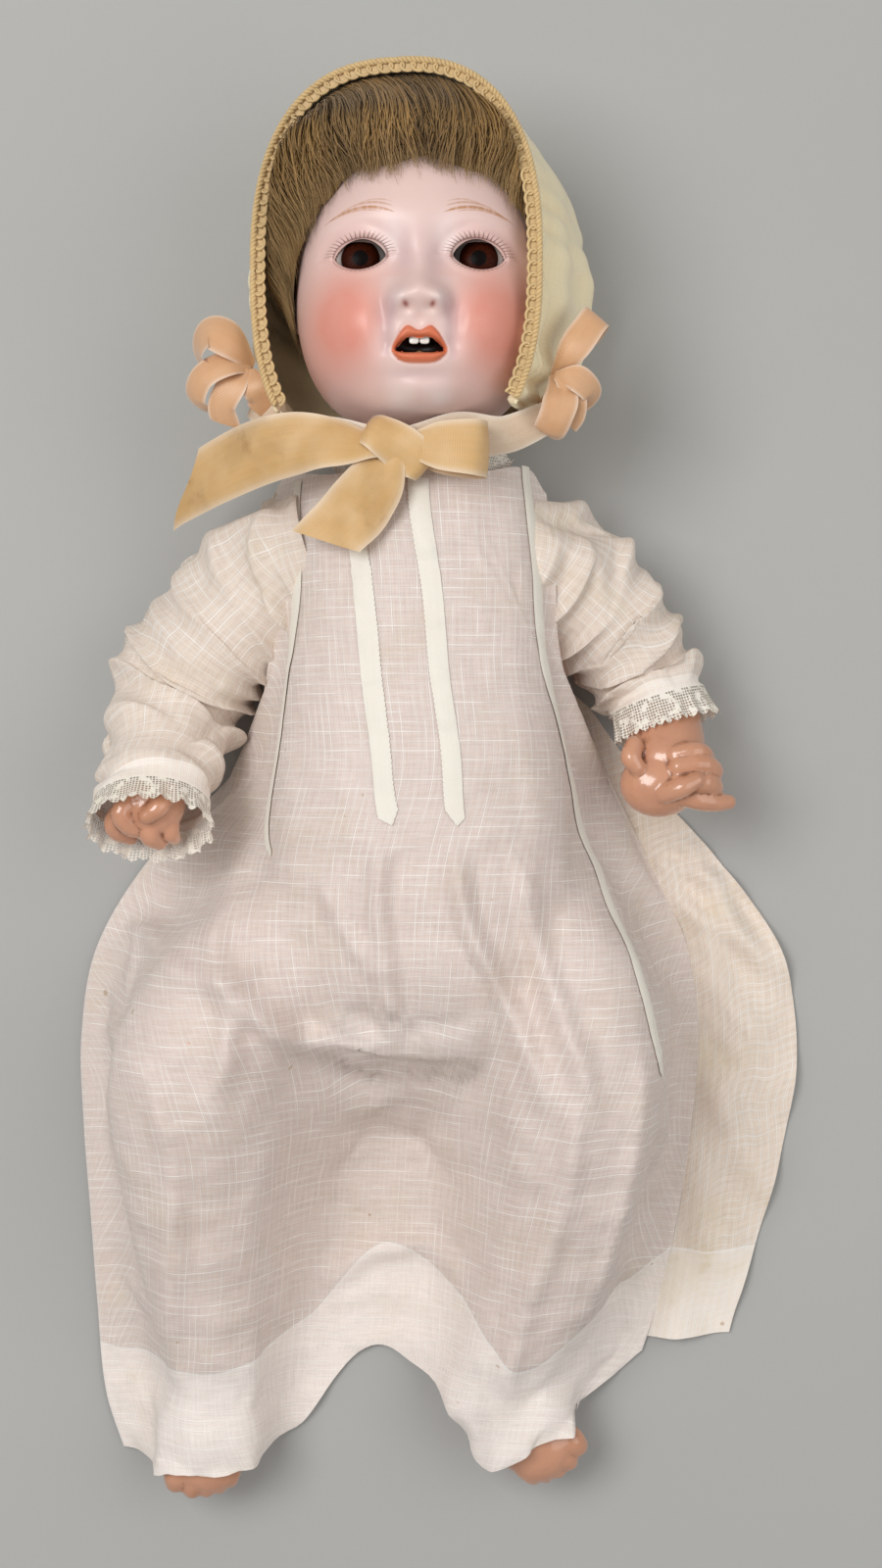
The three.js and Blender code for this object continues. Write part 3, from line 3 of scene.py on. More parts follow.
import bpy
import numpy as np
from bpy.props import FloatProperty, FloatVectorProperty, IntProperty, PointerProperty
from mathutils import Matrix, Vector


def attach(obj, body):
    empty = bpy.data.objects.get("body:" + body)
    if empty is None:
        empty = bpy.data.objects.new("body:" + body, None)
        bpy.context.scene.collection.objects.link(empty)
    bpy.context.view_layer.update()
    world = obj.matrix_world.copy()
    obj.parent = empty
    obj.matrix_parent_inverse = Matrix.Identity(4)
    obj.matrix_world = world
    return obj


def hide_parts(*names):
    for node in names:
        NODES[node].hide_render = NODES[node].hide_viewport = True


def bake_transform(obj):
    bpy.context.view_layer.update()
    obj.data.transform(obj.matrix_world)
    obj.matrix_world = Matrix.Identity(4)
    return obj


bl_info = {
    "name": "Porcelain baby doll",
    "version": (1, 0, 0),
    "blender": (4, 5, 0),
    "location": "3D View > Sidebar > Doll",
    "description": "Dresses a strung baby doll: bisque head, composition limbs, lawn gown and silk bonnet",
    "category": "Object",
}

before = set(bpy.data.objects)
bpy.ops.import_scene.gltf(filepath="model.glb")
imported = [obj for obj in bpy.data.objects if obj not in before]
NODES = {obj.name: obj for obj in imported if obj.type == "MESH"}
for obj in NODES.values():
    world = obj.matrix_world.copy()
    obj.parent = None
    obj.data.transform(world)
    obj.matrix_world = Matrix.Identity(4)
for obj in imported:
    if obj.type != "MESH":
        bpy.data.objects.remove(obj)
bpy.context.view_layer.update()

# Sizes below are in millimetres, in the frame of the part: +X the doll's left, +Y its crown, +Z its front.
MM = 0.001
HEAD = np.array((0.0, 205.0, 64.9))
EYE = np.array((23.2, 1.0, 30.5))
EYE_RADIUS = 12.5
EYE_WIDTH, EYE_UPPER, EYE_LOWER = 20.4, 6.4, 5.2
SKULL_WIDE, SKULL_UP, SKULL_DOWN, SKULL_FRONT, SKULL_BACK = 51, 68.0, 62.0, 54.0, 55.0
SKULL_POWER = 2.15
# the bonnet: half widths and half height, its depth, the sideways shift and tilt of its front edge,
# how square it is
BACK_WIDE, RIM_WIDE, RIM_TALL = 70.0, 56.0, 80.5
BACK_Z, BONNET_DEEP, BONNET_HEM = 0.5, 97.5, 150.0
RIM_SHIFT, RIM_SLOPE, ARCH = -10, np.tan(np.radians(12)), 0.8
SIDE_FULL = 0.45
KNOT = np.array((-11.0, 134.0, 101.0))
ROSETTES = {"left": np.array((58.5, 160.0, 86.0)), "right": np.array((-73.2, 163.0, 72.0))}
SHOULDER = {"left": np.array((56.0, 88.0, 46.0)), "right": np.array((-56.0, 88.0, 46.0))}
HIP = {"left": np.array((46.0, -58.0, 50.0)), "right": np.array((-46.0, -58.0, 50.0))}
ARM_PATHS = {
    "left": [(0, 0, 0), (24, -20, -8), (40, -46, -17), (47, -68, -4), (48, -80, 4)],
    "right": [(0, 0, 0), (-26, -24, -6), (-46, -52, -10), (-54, -78, 8), (-55, -88, 22)],
}
ARM_RADII = [18.5, 20, 18, 16, 14.5]
LEG_PATHS = {
    "left": [(0, 0, 0), (16, -30, 8), (19, -66, 11), (15, -111, 0), (1, -160, -16), (-18, -203, -27)],
    "right": [(0, 0, 0), (-30, -28, 6), (-48, -62, 10), (-50, -105, 0), (-46, -153, -15), (-41, -199, -27)],
}
LEG_RADII = [25, 31, 32, 27, 22.5, 17]
FOOT_AIM = {"left": np.array((0.72, -0.68, 0.12)), "right": np.array((-0.15, -0.95, 0.16))}
NECK_EDGE, SKIRT_END = 126.0, -306.0
LEFT_EDGE = [52, 55, 59, 79, 98, 116, 121, 118, 112, 103, 90, 78]
RIGHT_EDGE = [-64, -62, -64, -80, -118, -142, -149, -148, -145, -142, -138, -126]
FAN_EDGE = [50, 54, 66, 92, 128, 156, 164, 160, 150, 138, 124, 84]
FRONT_HEM = [-290, -293, -292, -292, -282, -246, -264, -290, -277, -267, -248]
BACK_HEM = [-288, -288, -282, -262, -234, -226, -232, -240, -241, -242, -240]
EDGE_Z = 2.1


def srgb(code):
    """A web colour as linear red, green and blue."""
    parts = [int(code[i : i + 2], 16) / 255 for i in (0, 2, 4)]
    return tuple(p / 12.92 if p <= 0.04045 else ((p + 0.055) / 1.055) ** 2.4 for p in parts)


# What a user would change


def colour_of(label, code, about):
    return FloatVectorProperty(
        name=label, description=about, subtype="COLOR", size=3, min=0, max=1, default=srgb(code)
    )


def length_of(label, millimetres, about):
    return FloatProperty(
        name=label, description=about, unit="LENGTH", min=0, default=millimetres * MM, precision=5
    )


class DollColours(bpy.types.PropertyGroup):
    """Colours of the doll and its clothes."""

    bisque: colour_of("Bisque", "eaccc4", "Skin of the porcelain head")
    blush: colour_of("Blush", "e28f7c", "Tint on the cheeks")
    lips: colour_of("Lips", "d86e44", "Painted lips")
    brows: colour_of("Brows", "bd8860", "Painted brows")
    lashes: colour_of("Lashes", "4c3a3c", "Painted lashes")
    iris: colour_of("Iris", "38150a", "Glass of the eyes round the pupil")
    hair: colour_of("Hair", "967340", "Mohair of the wig")
    composition: colour_of("Composition", "cf9677", "Varnished paint on body and limbs")
    lawn: colour_of("Lawn", "f4e3da", "Sheer cotton of the gown")
    lace: colour_of("Lace", "f4eee2", "Lace and tape on the gown")
    ribbon: colour_of("Bow ribbon", "d3a768", "Stained ribbon of the bow")
    peach: colour_of("Rosette ribbon", "d9a577", "Ribbon of the rosettes")
    tie: colour_of("Tie ribbon", "e3cdb4", "Satin of the ties")
    bonnet: colour_of("Bonnet", "fdeec8", "Silk of the bonnet")
    braid: colour_of("Braid", "d9ba84", "Looped braid on the bonnet")
    floor: colour_of("Floor", "b4b4b2", "Paper that the doll lies on")


class DollSizes(bpy.types.PropertyGroup):
    """Sizes of the doll's finer parts."""

    bisque_wall: length_of("Bisque wall", 3.0, "Thickness of the poured head")
    iris_radius: length_of("Iris", 7.7, "Radius of the coloured part of an eye")
    strands: IntProperty(name="Strands", description="Locks of mohair in the wig", default=4400, min=100)
    strand_radius: length_of("Strand", 0.2, "Half thickness of a lock of mohair")
    braid_radius: length_of("Braid cord", 0.62, "Half thickness of the braid's cord")
    check_pitch: length_of("Check", 3.8, "Spacing of the thick threads in the lawn")
    hem_depth: length_of("Hem", 46.0, "Depth of the doubled hem of the gown")
    lace_width: length_of("Cuff lace", 13.0, "Width of the lace on a sleeve")
    camera_height: length_of("Camera height", 1000.0, "Camera above the floor")
    fullness: FloatProperty(
        name="Fullness", description="Spare width in the skirt", default=0.10, min=0, max=0.5
    )


def colours():
    return bpy.context.scene.doll_colours


def sizes():
    return bpy.context.scene.doll_sizes


# Shapes


def smooth(low, high, x):
    t = np.clip((np.asarray(x, float) - low) / (high - low), 0, 1)
    return t * t * (3 - 2 * t)


def mix(a, b, t):
    return a + (b - a) * t


def roundness(s, power):
    return np.maximum(0, 1 - np.abs(s) ** power) ** (1 / power)


def signed_power(v, power):
    return np.sign(v) * np.abs(v) ** power


def joined(*parts):
    """Coordinates set side by side as points."""
    return np.stack(parts, -1)


def lengths(path):
    """Distance along a path of points, from its start to each of them."""
    return np.concatenate([[0], np.cumsum(np.linalg.norm(np.diff(path, axis=0), axis=1))])


def unit(v):
    return v / np.maximum(np.linalg.norm(v, axis=-1, keepdims=True), 1e-9)


def curve(points, t):
    """A smooth line through points at even steps, read at t from 0 to 1."""
    p = np.asarray(points, float)
    steps = len(p) - 1
    u = np.clip(np.asarray(t, float), 0, 1) * steps
    i = np.minimum(u.astype(int), steps - 1)
    f = u - i
    if p.ndim > 1:
        f = f[..., None]
        ends = (2 * p[:1] - p[1:2], p, 2 * p[-1:] - p[-2:-1])
    else:
        ends = (p[:1], p, p[-1:])
    p = np.concatenate(ends)
    a, b, c, d = p[i], p[i + 1], p[i + 2], p[i + 3]
    return 0.5 * (2 * b + (c - a) * f + (2 * a - 5 * b + 4 * c - d) * f**2 + (3 * b - a - 3 * c + d) * f**3)


def rumple(where, size, seed):
    """A smooth uneven field of about -1 to 1 over points, with waves of about the given size."""
    rng = np.random.default_rng(seed)
    total = 0
    for _ in range(7):
        way = unit(rng.normal(size=where.shape[-1])) * rng.uniform(0.6, 1.5) * 2 * np.pi / size
        total = total + np.sin(where @ way + rng.uniform(0, 2 * np.pi))
    return total / 3.2


def grid_faces(rows, columns, wrap=False):
    """Quads over a grid of points, facing the way of row step cross column step."""
    row = np.arange(rows - 1)[:, None] * columns
    column = np.arange(columns if wrap else columns - 1)[None]
    after = (column + 1) % columns
    return joined(row + column, row + columns + column, row + columns + after, row + after).reshape(-1, 4)


def grid_normals(points):
    down, across = np.gradient(points, axis=0), np.gradient(points, axis=1)
    return unit(np.cross(down, across))


class Skin:
    """Sheets, tubes and closed forms gathered into one mesh, with the cloth's own coordinates in mm."""

    def __init__(self):
        self.points, self.faces, self.cloth, self.size = [], [], [], 0

    def add(self, points, faces, cloth=None):
        points = np.asarray(points, float).reshape(-1, 3)
        self.points.append(points)
        self.faces += (np.asarray(faces) + self.size).tolist()
        self.cloth.append(
            np.zeros((len(points), 2)) if cloth is None else np.asarray(cloth, float).reshape(-1, 2)
        )
        self.size += len(points)

    def sheet(self, points, cloth=None, wrap=False, flip=False):
        faces = grid_faces(*points.shape[:2], wrap)
        self.add(points, faces[:, ::-1] if flip else faces, cloth)

    def tube(self, path, radius, sides=8):
        """A round bar along a path of points, closed at both ends."""
        path = np.asarray(path, float)
        ahead = unit(np.gradient(path, axis=0))
        side = [unit(np.cross(ahead[0], (0.31, 0.2, 0.93) if abs(ahead[0][2]) < 0.9 else (1.0, 0, 0)))]
        for step in ahead[1:]:
            side.append(unit(side[-1] - step * (side[-1] @ step)))
        side = np.array(side)
        other = np.cross(ahead, side)
        turn = -np.arange(sides) * 2 * np.pi / sides
        radius = np.broadcast_to(np.asarray(radius, float), (len(path),))[:, None, None]
        ring = np.cos(turn)[None, :, None] * side[:, None] + np.sin(turn)[None, :, None] * other[:, None]
        first = self.size
        self.sheet(path[:, None] + radius * ring, wrap=True)
        self.faces.append(list(range(first, first + sides)))
        self.faces.append(list(range(self.size - 1, self.size - 1 - sides, -1)))

    def egg(self, centre, radii, rows=14, columns=20, power=1.0, turn=None):
        """A closed rounded form; a power under 1 makes it boxier."""
        lat = np.linspace(np.pi / 2, -np.pi / 2, rows + 1)[1:-1, None]
        lon = np.linspace(0, 2 * np.pi, columns, endpoint=False)[None]
        x = signed_power(np.cos(lat), power) * signed_power(np.cos(lon), power)
        y = signed_power(np.cos(lat), power) * signed_power(np.sin(lon), power)
        z = signed_power(np.sin(lat), power) + 0 * lon
        p = joined(x, y, z).reshape(-1, 3)
        p = np.vstack([p, (0, 0, 1), (0, 0, -1)]) * np.asarray(radii, float)
        if turn is not None:
            p = p @ np.asarray(turn).T
        faces = grid_faces(rows - 1, columns, True).tolist()
        top, last, low = len(p) - 2, len(p) - 1, (rows - 2) * columns
        for i in range(columns):
            j = (i + 1) % columns
            faces += [[top, i, j, j], [last, low + j, low + i, low + i]]
        self.faces += [[v + self.size for v in dict.fromkeys(f)] for f in faces]
        self.add(p + np.asarray(centre, float), [])

    def make(self, name, finish, slot=None):
        obj = mesh_object(name, np.vstack(self.points), self.faces, np.vstack(self.cloth))
        obj.data.materials.append(finish)
        return obj


def sheet_piece(name, stuff, slot, points, cloth=None, **way):
    """One grid of points as a piece of its own."""
    skin = Skin()
    skin.sheet(points, cloth, **way)
    return skin.make(name, finish(stuff), slot)


def mesh_object(name, points, faces, cloth=None, scale=MM):
    mesh = bpy.data.meshes.new(name)
    mesh.from_pydata((np.asarray(points) * scale).tolist(), [], faces)
    mesh.polygons.foreach_set("use_smooth", np.ones(len(mesh.polygons), bool))
    if cloth is not None and np.ptp(cloth) > 0:
        corners = np.empty(len(mesh.loops), np.int32)
        mesh.loops.foreach_get("vertex_index", corners)
        mesh.uv_layers.new(name="Cloth").data.foreach_set("uv", cloth[corners].ravel())
    mesh.update()
    obj = bpy.data.objects.new(name, mesh)
    bpy.context.scene.collection.objects.link(obj)
    return obj


def mark(obj, name, values):
    """Stores a painted mask on the points of a mesh."""
    obj.data.attributes.new(name, "FLOAT", "POINT").data.foreach_set("value", np.asarray(values, np.float32))


def baked(obj):
    """Applies the modifiers of an object to its mesh."""
    bpy.context.view_layer.update()
    made = bpy.data.meshes.new_from_object(obj.evaluated_get(bpy.context.evaluated_depsgraph_get()))
    old = obj.data
    obj.modifiers.clear()
    obj.data = made
    bpy.data.meshes.remove(old)
    return obj


def melt(obj, voxel, rounds):
    """Adds the modifiers that melt an object's forms into one and even it out."""
    remesh = obj.modifiers.new("Melt", "REMESH")
    remesh.mode, remesh.voxel_size, remesh.use_smooth_shade = "VOXEL", voxel * MM, True
    soft = obj.modifiers.new("Soften", "SMOOTH")
    soft.factor, soft.iterations = 0.5, rounds


def cast(skin, name, finish, voxel, rounds, slot):
    """One seamless moulded form from overlapping closed ones."""
    obj = skin.make(name, finish, slot)
    melt(obj, voxel, rounds)
    baked(obj)
    obj.data.materials.clear()
    obj.data.materials.append(finish)
    return obj


def ribbon(route, facing, width, rows=48, columns=8, cut=0.0, crown=0.0, wave=0.0, seed=1):
    """Points and cloth coordinates of a ribbon along a route whose face looks the given way."""
    even = np.linspace(0, 1, 241)
    middle, look = curve(route, even), unit(curve(facing, even))
    ahead = unit(np.gradient(middle, axis=0))
    aside = unit(np.cross(ahead, look))
    look = np.cross(aside, ahead)
    long = lengths(middle)
    v = np.linspace(-0.5, 0.5, columns + 1)[None]
    t = np.linspace(0, 1, rows + 1)[:, None] * (1 - abs(cut) * (0.5 + v * np.sign(cut)))
    read = lambda table: np.stack([np.interp(t, even, table[:, k]) for k in range(3)], -1)
    wide = np.interp(t, even, curve(width, even))
    place = joined(t * long[-1], v * wide)
    lift = crown * (1 - 4 * v * v) + wave * rumple(place, 26, seed)
    points = read(middle) + read(aside) * (wide * v)[..., None] + read(look) * lift[..., None]
    return points, joined(v * np.max(width) + 0 * t, t * long[-1])


def ride(obj, body, *replaced):
    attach(obj, body)
    if replaced:
        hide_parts(*replaced)
    return obj


def span(points):
    """Area and middle size of a grid of cloth, in metres."""
    across = np.linalg.norm(np.diff(points, axis=1), axis=-1).sum(1).mean()
    down = np.linalg.norm(np.diff(points, axis=0), axis=-1).sum(0).mean()
    a, b = np.diff(points, axis=0)[:, :-1], np.diff(points, axis=1)[:-1]
    return np.linalg.norm(np.cross(a, b), axis=-1).sum() * MM * MM, across * MM, down * MM


def declare(grids, rests_on=()):
    """Works out the area and size of the flat cloth that one or more grids of points were cut from, and keeps
    no result.
    """
    found = [span(g) for g in grids]
    area = sum(f[0] for f in found)
    wide = max(f[1] for f in found)
    long = max(sum(f[2] for f in found), area / wide)
    if wide >= 0.01:  # narrower tape is a trim, not a sheet
        min(area, wide * long)


# Materials


class Wire:
    """One output of a node, which adds, multiplies and compares with others."""

    def __init__(self, board, socket):
        self.board, self.socket = board, socket

    def math(self, operation, *others):
        node = self.board.tree.nodes.new("ShaderNodeMath")
        node.operation = operation
        for inlet, value in zip(node.inputs, (self, *others)):
            self.board.plug(value, inlet)
        return Wire(self.board, node.outputs[0])

    def __add__(self, other):
        return self.math("ADD", other)

    def __sub__(self, other):
        return self.math("SUBTRACT", other)

    def __mul__(self, other):
        return self.math("MULTIPLY", other)

    def __truediv__(self, other):
        return self.math("DIVIDE", other)

    def flip(self):
        return (self * -1) + 1

    def step(self, low, high):
        """Rises smoothly from 0 at low to 1 at high, or falls where low is the larger."""
        kind = {"From Min": min(low, high), "From Max": max(low, high)}
        ends = {"To Min": 0.0 if low < high else 1.0, "To Max": 1.0 if low < high else 0.0}
        node = self.board.node("MapRange", {"Value": self, **kind, **ends}, interpolation_type="SMOOTHSTEP")
        return Wire(self.board, node.outputs[0])


class Board:
    """A node tree with short ways to place nodes and wire them."""

    def __init__(self, tree):
        self.tree = tree

    def plug(self, value, inlet):
        if isinstance(value, Wire):
            self.tree.links.new(value.socket, inlet)
        elif inlet.type == "RGBA":
            inlet.default_value = (*value[:3], 1)
        else:
            inlet.default_value = value

    def node(self, kind, inputs=None, **options):
        made = self.tree.nodes.new("ShaderNode" + kind)
        for key, value in options.items():
            setattr(made, key, value)
        for key, value in (inputs or {}).items():
            self.plug(value, made.inputs[key])
        return made

    def place(self):
        """Where a point is in the part's frame, in millimetres."""
        where = Wire(self, self.node("TexCoord").outputs["Object"])
        return Wire(self, self.node("VectorMath", {0: where, "Scale": 1000.0}, operation="SCALE").outputs[0])

    def cloth(self):
        return Wire(self, self.node("UVMap", uv_map="Cloth").outputs[0])

    def split(self, vector):
        made = self.node("SeparateXYZ", {0: vector})
        return [Wire(self, s) for s in made.outputs]

    def stretch(self, vector, x, y, z):
        made = self.node("VectorMath", {0: vector, 1: (x, y, z)}, operation="MULTIPLY")
        return Wire(self, made.outputs[0])

    def noise(self, where, size, detail=3.0, rough=0.55):
        given = {"Vector": where, "Scale": 1 / size, "Detail": detail, "Roughness": rough}
        return Wire(self, self.node("TexNoise", given).outputs[0])

    def mark(self, name):
        return Wire(self, self.node("Attribute", attribute_name=name).outputs["Fac"])

    def tint(self, amount, a, b):
        made = self.node("Mix", data_type="RGBA")
        for value, inlet in ((amount, 0), (a, 6), (b, 7)):
            self.plug(value, made.inputs[inlet])
        return Wire(self, made.outputs[2])

    def use(self, name, **given):
        made = self.node("Group")
        made.node_tree = bpy.data.node_groups.get(name) or EFFECTS[name](name)
        for key, value in given.items():
            self.plug(value, made.inputs[key])
        return [Wire(self, s) for s in made.outputs]


def effect(name, inlets, outlets, build):
    """A node group with named sockets, whose build gives one wire for each outlet."""
    tree = bpy.data.node_groups.new(name, "ShaderNodeTree")
    for label, default in inlets.items():
        kind = "NodeSocketVector" if default is None else "NodeSocketFloat"
        socket = tree.interface.new_socket(name=label, in_out="INPUT", socket_type=kind)
        if default is not None:
            socket.default_value = default
    for label in outlets:
        tree.interface.new_socket(name=label, in_out="OUTPUT", socket_type="NodeSocketFloat")
    board = Board(tree)
    start, end = tree.nodes.new("NodeGroupInput"), tree.nodes.new("NodeGroupOutput")
    made = build(board, *[Wire(board, s) for s in start.outputs if s.name])
    for label, wire in zip(outlets, made):
        tree.links.new(wire.socket, end.inputs[label])
    return tree


def mottle_effect(name):
    """Soft uneven patches of a given size."""

    def build(board, place, size, contrast):
        scaled = board.node(
            "VectorMath", {0: place, "Scale": Wire(board, size.math("POWER", -1.0).socket)}, operation="SCALE"
        )
        field = board.noise(Wire(board, scaled.outputs[0]), 1.0, 4.0, 0.6)
        return [((field - 0.5) * contrast + 0.5).math("MAXIMUM", 0.0).math("MINIMUM", 1.0)]

    return effect(name, {"Place": None, "Size": 10.0, "Contrast": 1.0}, ["Value"], build)


def stain_effect(name):
    """Stains of age: broad patches, broken up by spots."""

    def build(board, place, amount):
        broad = board.noise(place, 34.0, 3.0, 0.6)
        spots = board.noise(place, 9.0, 4.0, 0.65).step(0.52, 0.72)
        return [(broad.step(0.48, 0.68) * (spots * 0.6 + 0.4)) * amount]

    return effect(name, {"Place": None, "Amount": 0.5}, ["Mask"], build)


def check_effect(name):
    """Sheer lawn: fine threads, and thick ones that cross in an uneven check."""

    def build(board, cloth, pitch):
        drift = (board.noise(cloth, 40.0, 2.0) - 0.5) * 0.5
        u, v, _ = board.split(cloth)
        lines = None
        for way, lean, scale, firm in (
            (u, drift, 1.0, 1.0), (v, drift * -1.0, 1.0, 1.0), (u, drift, 2.0, 0.45), (v, drift, 2.0, 0.45)
        ):
            off = ((way + lean) / pitch * scale).math("FRACT") - 0.5
            thin = (off.math("ABSOLUTE") * pitch / scale).step(0.42, 0.14) * firm
            uneven = board.noise(
                board.stretch(cloth, 1.0, 0.11, 1.0) if way is u else board.stretch(cloth, 0.11, 1.0, 1.0),
                4.0, 2.0
            )
            thin = thin * (uneven.step(0.34, 0.6) * 0.65 + 0.35)
            lines = thin if lines is None else lines.math("MAXIMUM", thin)
        fine_u = board.noise(board.stretch(cloth, 1.0, 0.06, 1.0), 0.8, 2.0)
        fine_v = board.noise(board.stretch(cloth, 0.06, 1.0, 1.0), 0.8, 2.0)
        weave = (fine_u + fine_v) * 0.5
        return [lines, weave, lines * 0.7 + weave * 0.5]

    return effect(name, {"Cloth": None, "Pitch": 3.8}, ["Lines", "Weave", "Height"], build)


def rib_effect(name):
    """Ribbon: fine ribs across it."""

    def build(board, cloth, pitch):
        v = board.split(cloth)[1]
        rib = ((v / pitch) * (2 * np.pi)).math("SINE") * 0.5 + 0.5
        streak = board.noise(board.stretch(cloth, 1.0, 0.05, 1.0), 1.6, 3.0)
        return [rib * 0.5 + streak * 0.5, streak]

    return effect(name, {"Cloth": None, "Pitch": 0.8}, ["Height", "Streak"], build)


def lace_effect(name):
    """Lace: a net of small holes with denser sprigs in it."""

    def build(board, cloth, hole):
        u, v, _ = board.split(cloth)
        a = ((u / hole) * (2 * np.pi)).math("SINE") * ((v / hole) * (2 * np.pi)).math("SINE")
        net = a.math("ABSOLUTE").step(0.62, 0.3)
        sprig = board.noise(cloth, 4.2, 2.0).step(0.5, 0.58)
        return [net.math("MAXIMUM", sprig)]

    return effect(name, {"Cloth": None, "Hole": 2.2}, ["Mask"], build)


def crevice_effect(name):
    """Darker in the hollows, as dirt and painted shade, and wear on what stands out."""

    def build(board, place, reach):
        shape = Wire(board, board.node("NewGeometry").outputs["Pointiness"])
        uneven = board.noise(place, 6.0, 4.0, 0.65)
        low = (shape + (uneven - 0.5) * 0.02).step(0.495, 0.455) * reach
        high = (shape + (uneven - 0.5) * 0.03).step(0.53, 0.58) * reach
        return [low, high]

    return effect(name, {"Place": None, "Reach": 1.0}, ["Hollow", "Edge"], build)


EFFECTS = {
    "Mottle": mottle_effect,
    "Age stains": stain_effect,
    "Check lawn": check_effect,
    "Ribbed silk": rib_effect,
    "Lace net": lace_effect,
    "Crevices": crevice_effect,
}


class Finish(Board):
    """A material with its Principled shader."""

    def __init__(self, name, **plain):
        self.material = bpy.data.materials.new(name)
        self.material.use_nodes = True
        super().__init__(self.material.node_tree)
        self.shader = self.tree.nodes["Principled BSDF"]
        for key, value in plain.items():
            self.plug(value, self.shader.inputs[key.replace("_", " ")])

    def set(self, socket, value):
        self.plug(value, self.shader.inputs[socket])

    def mottle(self, place, size, contrast):
        return self.use("Mottle", Place=place, Size=size, Contrast=contrast)[0]

    def stain(self, place, amount):
        return self.use("Age stains", Place=place, Amount=amount)[0]

    def relief(self, height, millimetres):
        made = self.node("Bump", {"Height": height, "Distance": millimetres * MM, "Strength": 1.0})
        self.tree.links.new(made.outputs[0], self.shader.inputs["Normal"])


def shade_of(colour, by):
    return tuple(min(1.0, c * by) for c in colour)


def toward(colour, other, share):
    return tuple(mix(c, o, share) for c, o in zip(colour, other))


def bisque_finish(name):
    """Tinted porcelain with the painted face: blush, lips, brows, lashes and dots, with painted shade in its
    folds and inside the mouth, and painted highlights.
    """
    tone = colours()
    look = Finish(name, Roughness=0.36, Specular_IOR_Level=0.42, Subsurface_Weight=0.06)
    look.set("Subsurface Radius", (0.006, 0.003, 0.002))
    place = look.place()
    x, y, z = look.split(place)
    across, up = x.math("ABSOLUTE"), y - float(HEAD[1])
    front = z.step(HEAD[2] + 14, HEAD[2] + 28)
    mottle = look.mottle(place, 14.0, 1.1)
    colour = look.tint(mottle, shade_of(tone.bisque, 0.93), tone.bisque)
    # painted shade: mauve in the folds of the face
    colour = look.tint(look.mark("shade"), colour, srgb("b79aa0"))
    # painted highlights: pale patches on the lids, beside the nose and mouth and on the chin
    colour = look.tint(look.mark("light") * 0.7, colour, srgb("f8ebe8"))
    colour = look.tint(look.mark("blush") * (mottle * 0.3 + 0.75), colour, tone.blush)
    colour = look.tint(look.mark("lips") * (mottle * 0.3 + 0.8), colour, tone.lips)
    # painted shade: the cup inside the mouth goes near-black
    colour = look.tint(look.mark("mouth"), colour, srgb("2a0d0b"))
    colour = look.tint(look.mark("dots"), colour, srgb("8e3428"))
    # brows: one firm stroke with fainter ones above and below it
    strokes = (
        (18.8, 0.018, 22.0, 8.0, 40.0, 0.5, 0.9),
        (20.6, 0.022, 20.0, 8.5, 34.0, 0.36, 0.6),
        (21.7, 0.028, 17.5, 9.0, 27.0, 0.26, 0.45),
        (17.8, 0.018, 23.0, 13.0, 38.0, 0.3, 0.5),
    )
    for height, bend, peak, near, far, thick, depth in strokes:
        off = across - peak
        off = (up - height + off * off * bend).math("ABSOLUTE")
        taper = across.step(near, near + 7) * across.step(far, far - 13)
        stroke = (off - taper * thick).step(0.28, -0.12) * taper.step(0.0, 0.35)
        hairs = look.noise(look.stretch(place, 1.0, 0.35, 0.3), 1.3, 2.0).step(0.3, 0.6) * 0.45 + 0.55
        colour = look.tint(stroke * hairs * front * depth, colour, tone.brows)
    # lashes: fine rays round each eye, longer above it
    side, rise = (across - float(EYE[0])) / (EYE_WIDTH / 2), up - float(EYE[1])
    for tall, sign, count, reach, width, depth in (
        (EYE_UPPER, 1.0, 22.0, 0.46, 0.14, 0.8), (EYE_LOWER, -1.0, 20.0, 0.32, 0.11, 0.45)
    ):
        lift = rise * sign / tall
        ring = (side * side + lift * lift).math("SQRT")
        ray = ((lift.math("ARCTAN2", side) / np.pi * count + 0.5).math("FRACT") - 0.5).math("ABSOLUTE")
        run = (ring - 1.04) / reach
        stroke = (
            (ray + run * 0.14).step(width + 0.08, width - 0.06) * run.step(-0.02, 0.05) * run.step(1.0, 0.75)
        )
        colour = look.tint(stroke * lift.step(0.0, 0.2) * front * depth, colour, tone.lashes)
        rim = ring.step(1.0, 1.03) * ring.step(1.12, 1.05) * lift.step(-0.02, 0.05) * front
        colour = look.tint(rim * (0.6 if sign > 0 else 0.3), colour, srgb("7a5650"))
    look.set("Base Color", colour)
    look.set("Roughness", mottle * 0.1 + 0.31)
    look.relief(look.noise(place, 0.9, 3.0), 0.03)
    return look.material


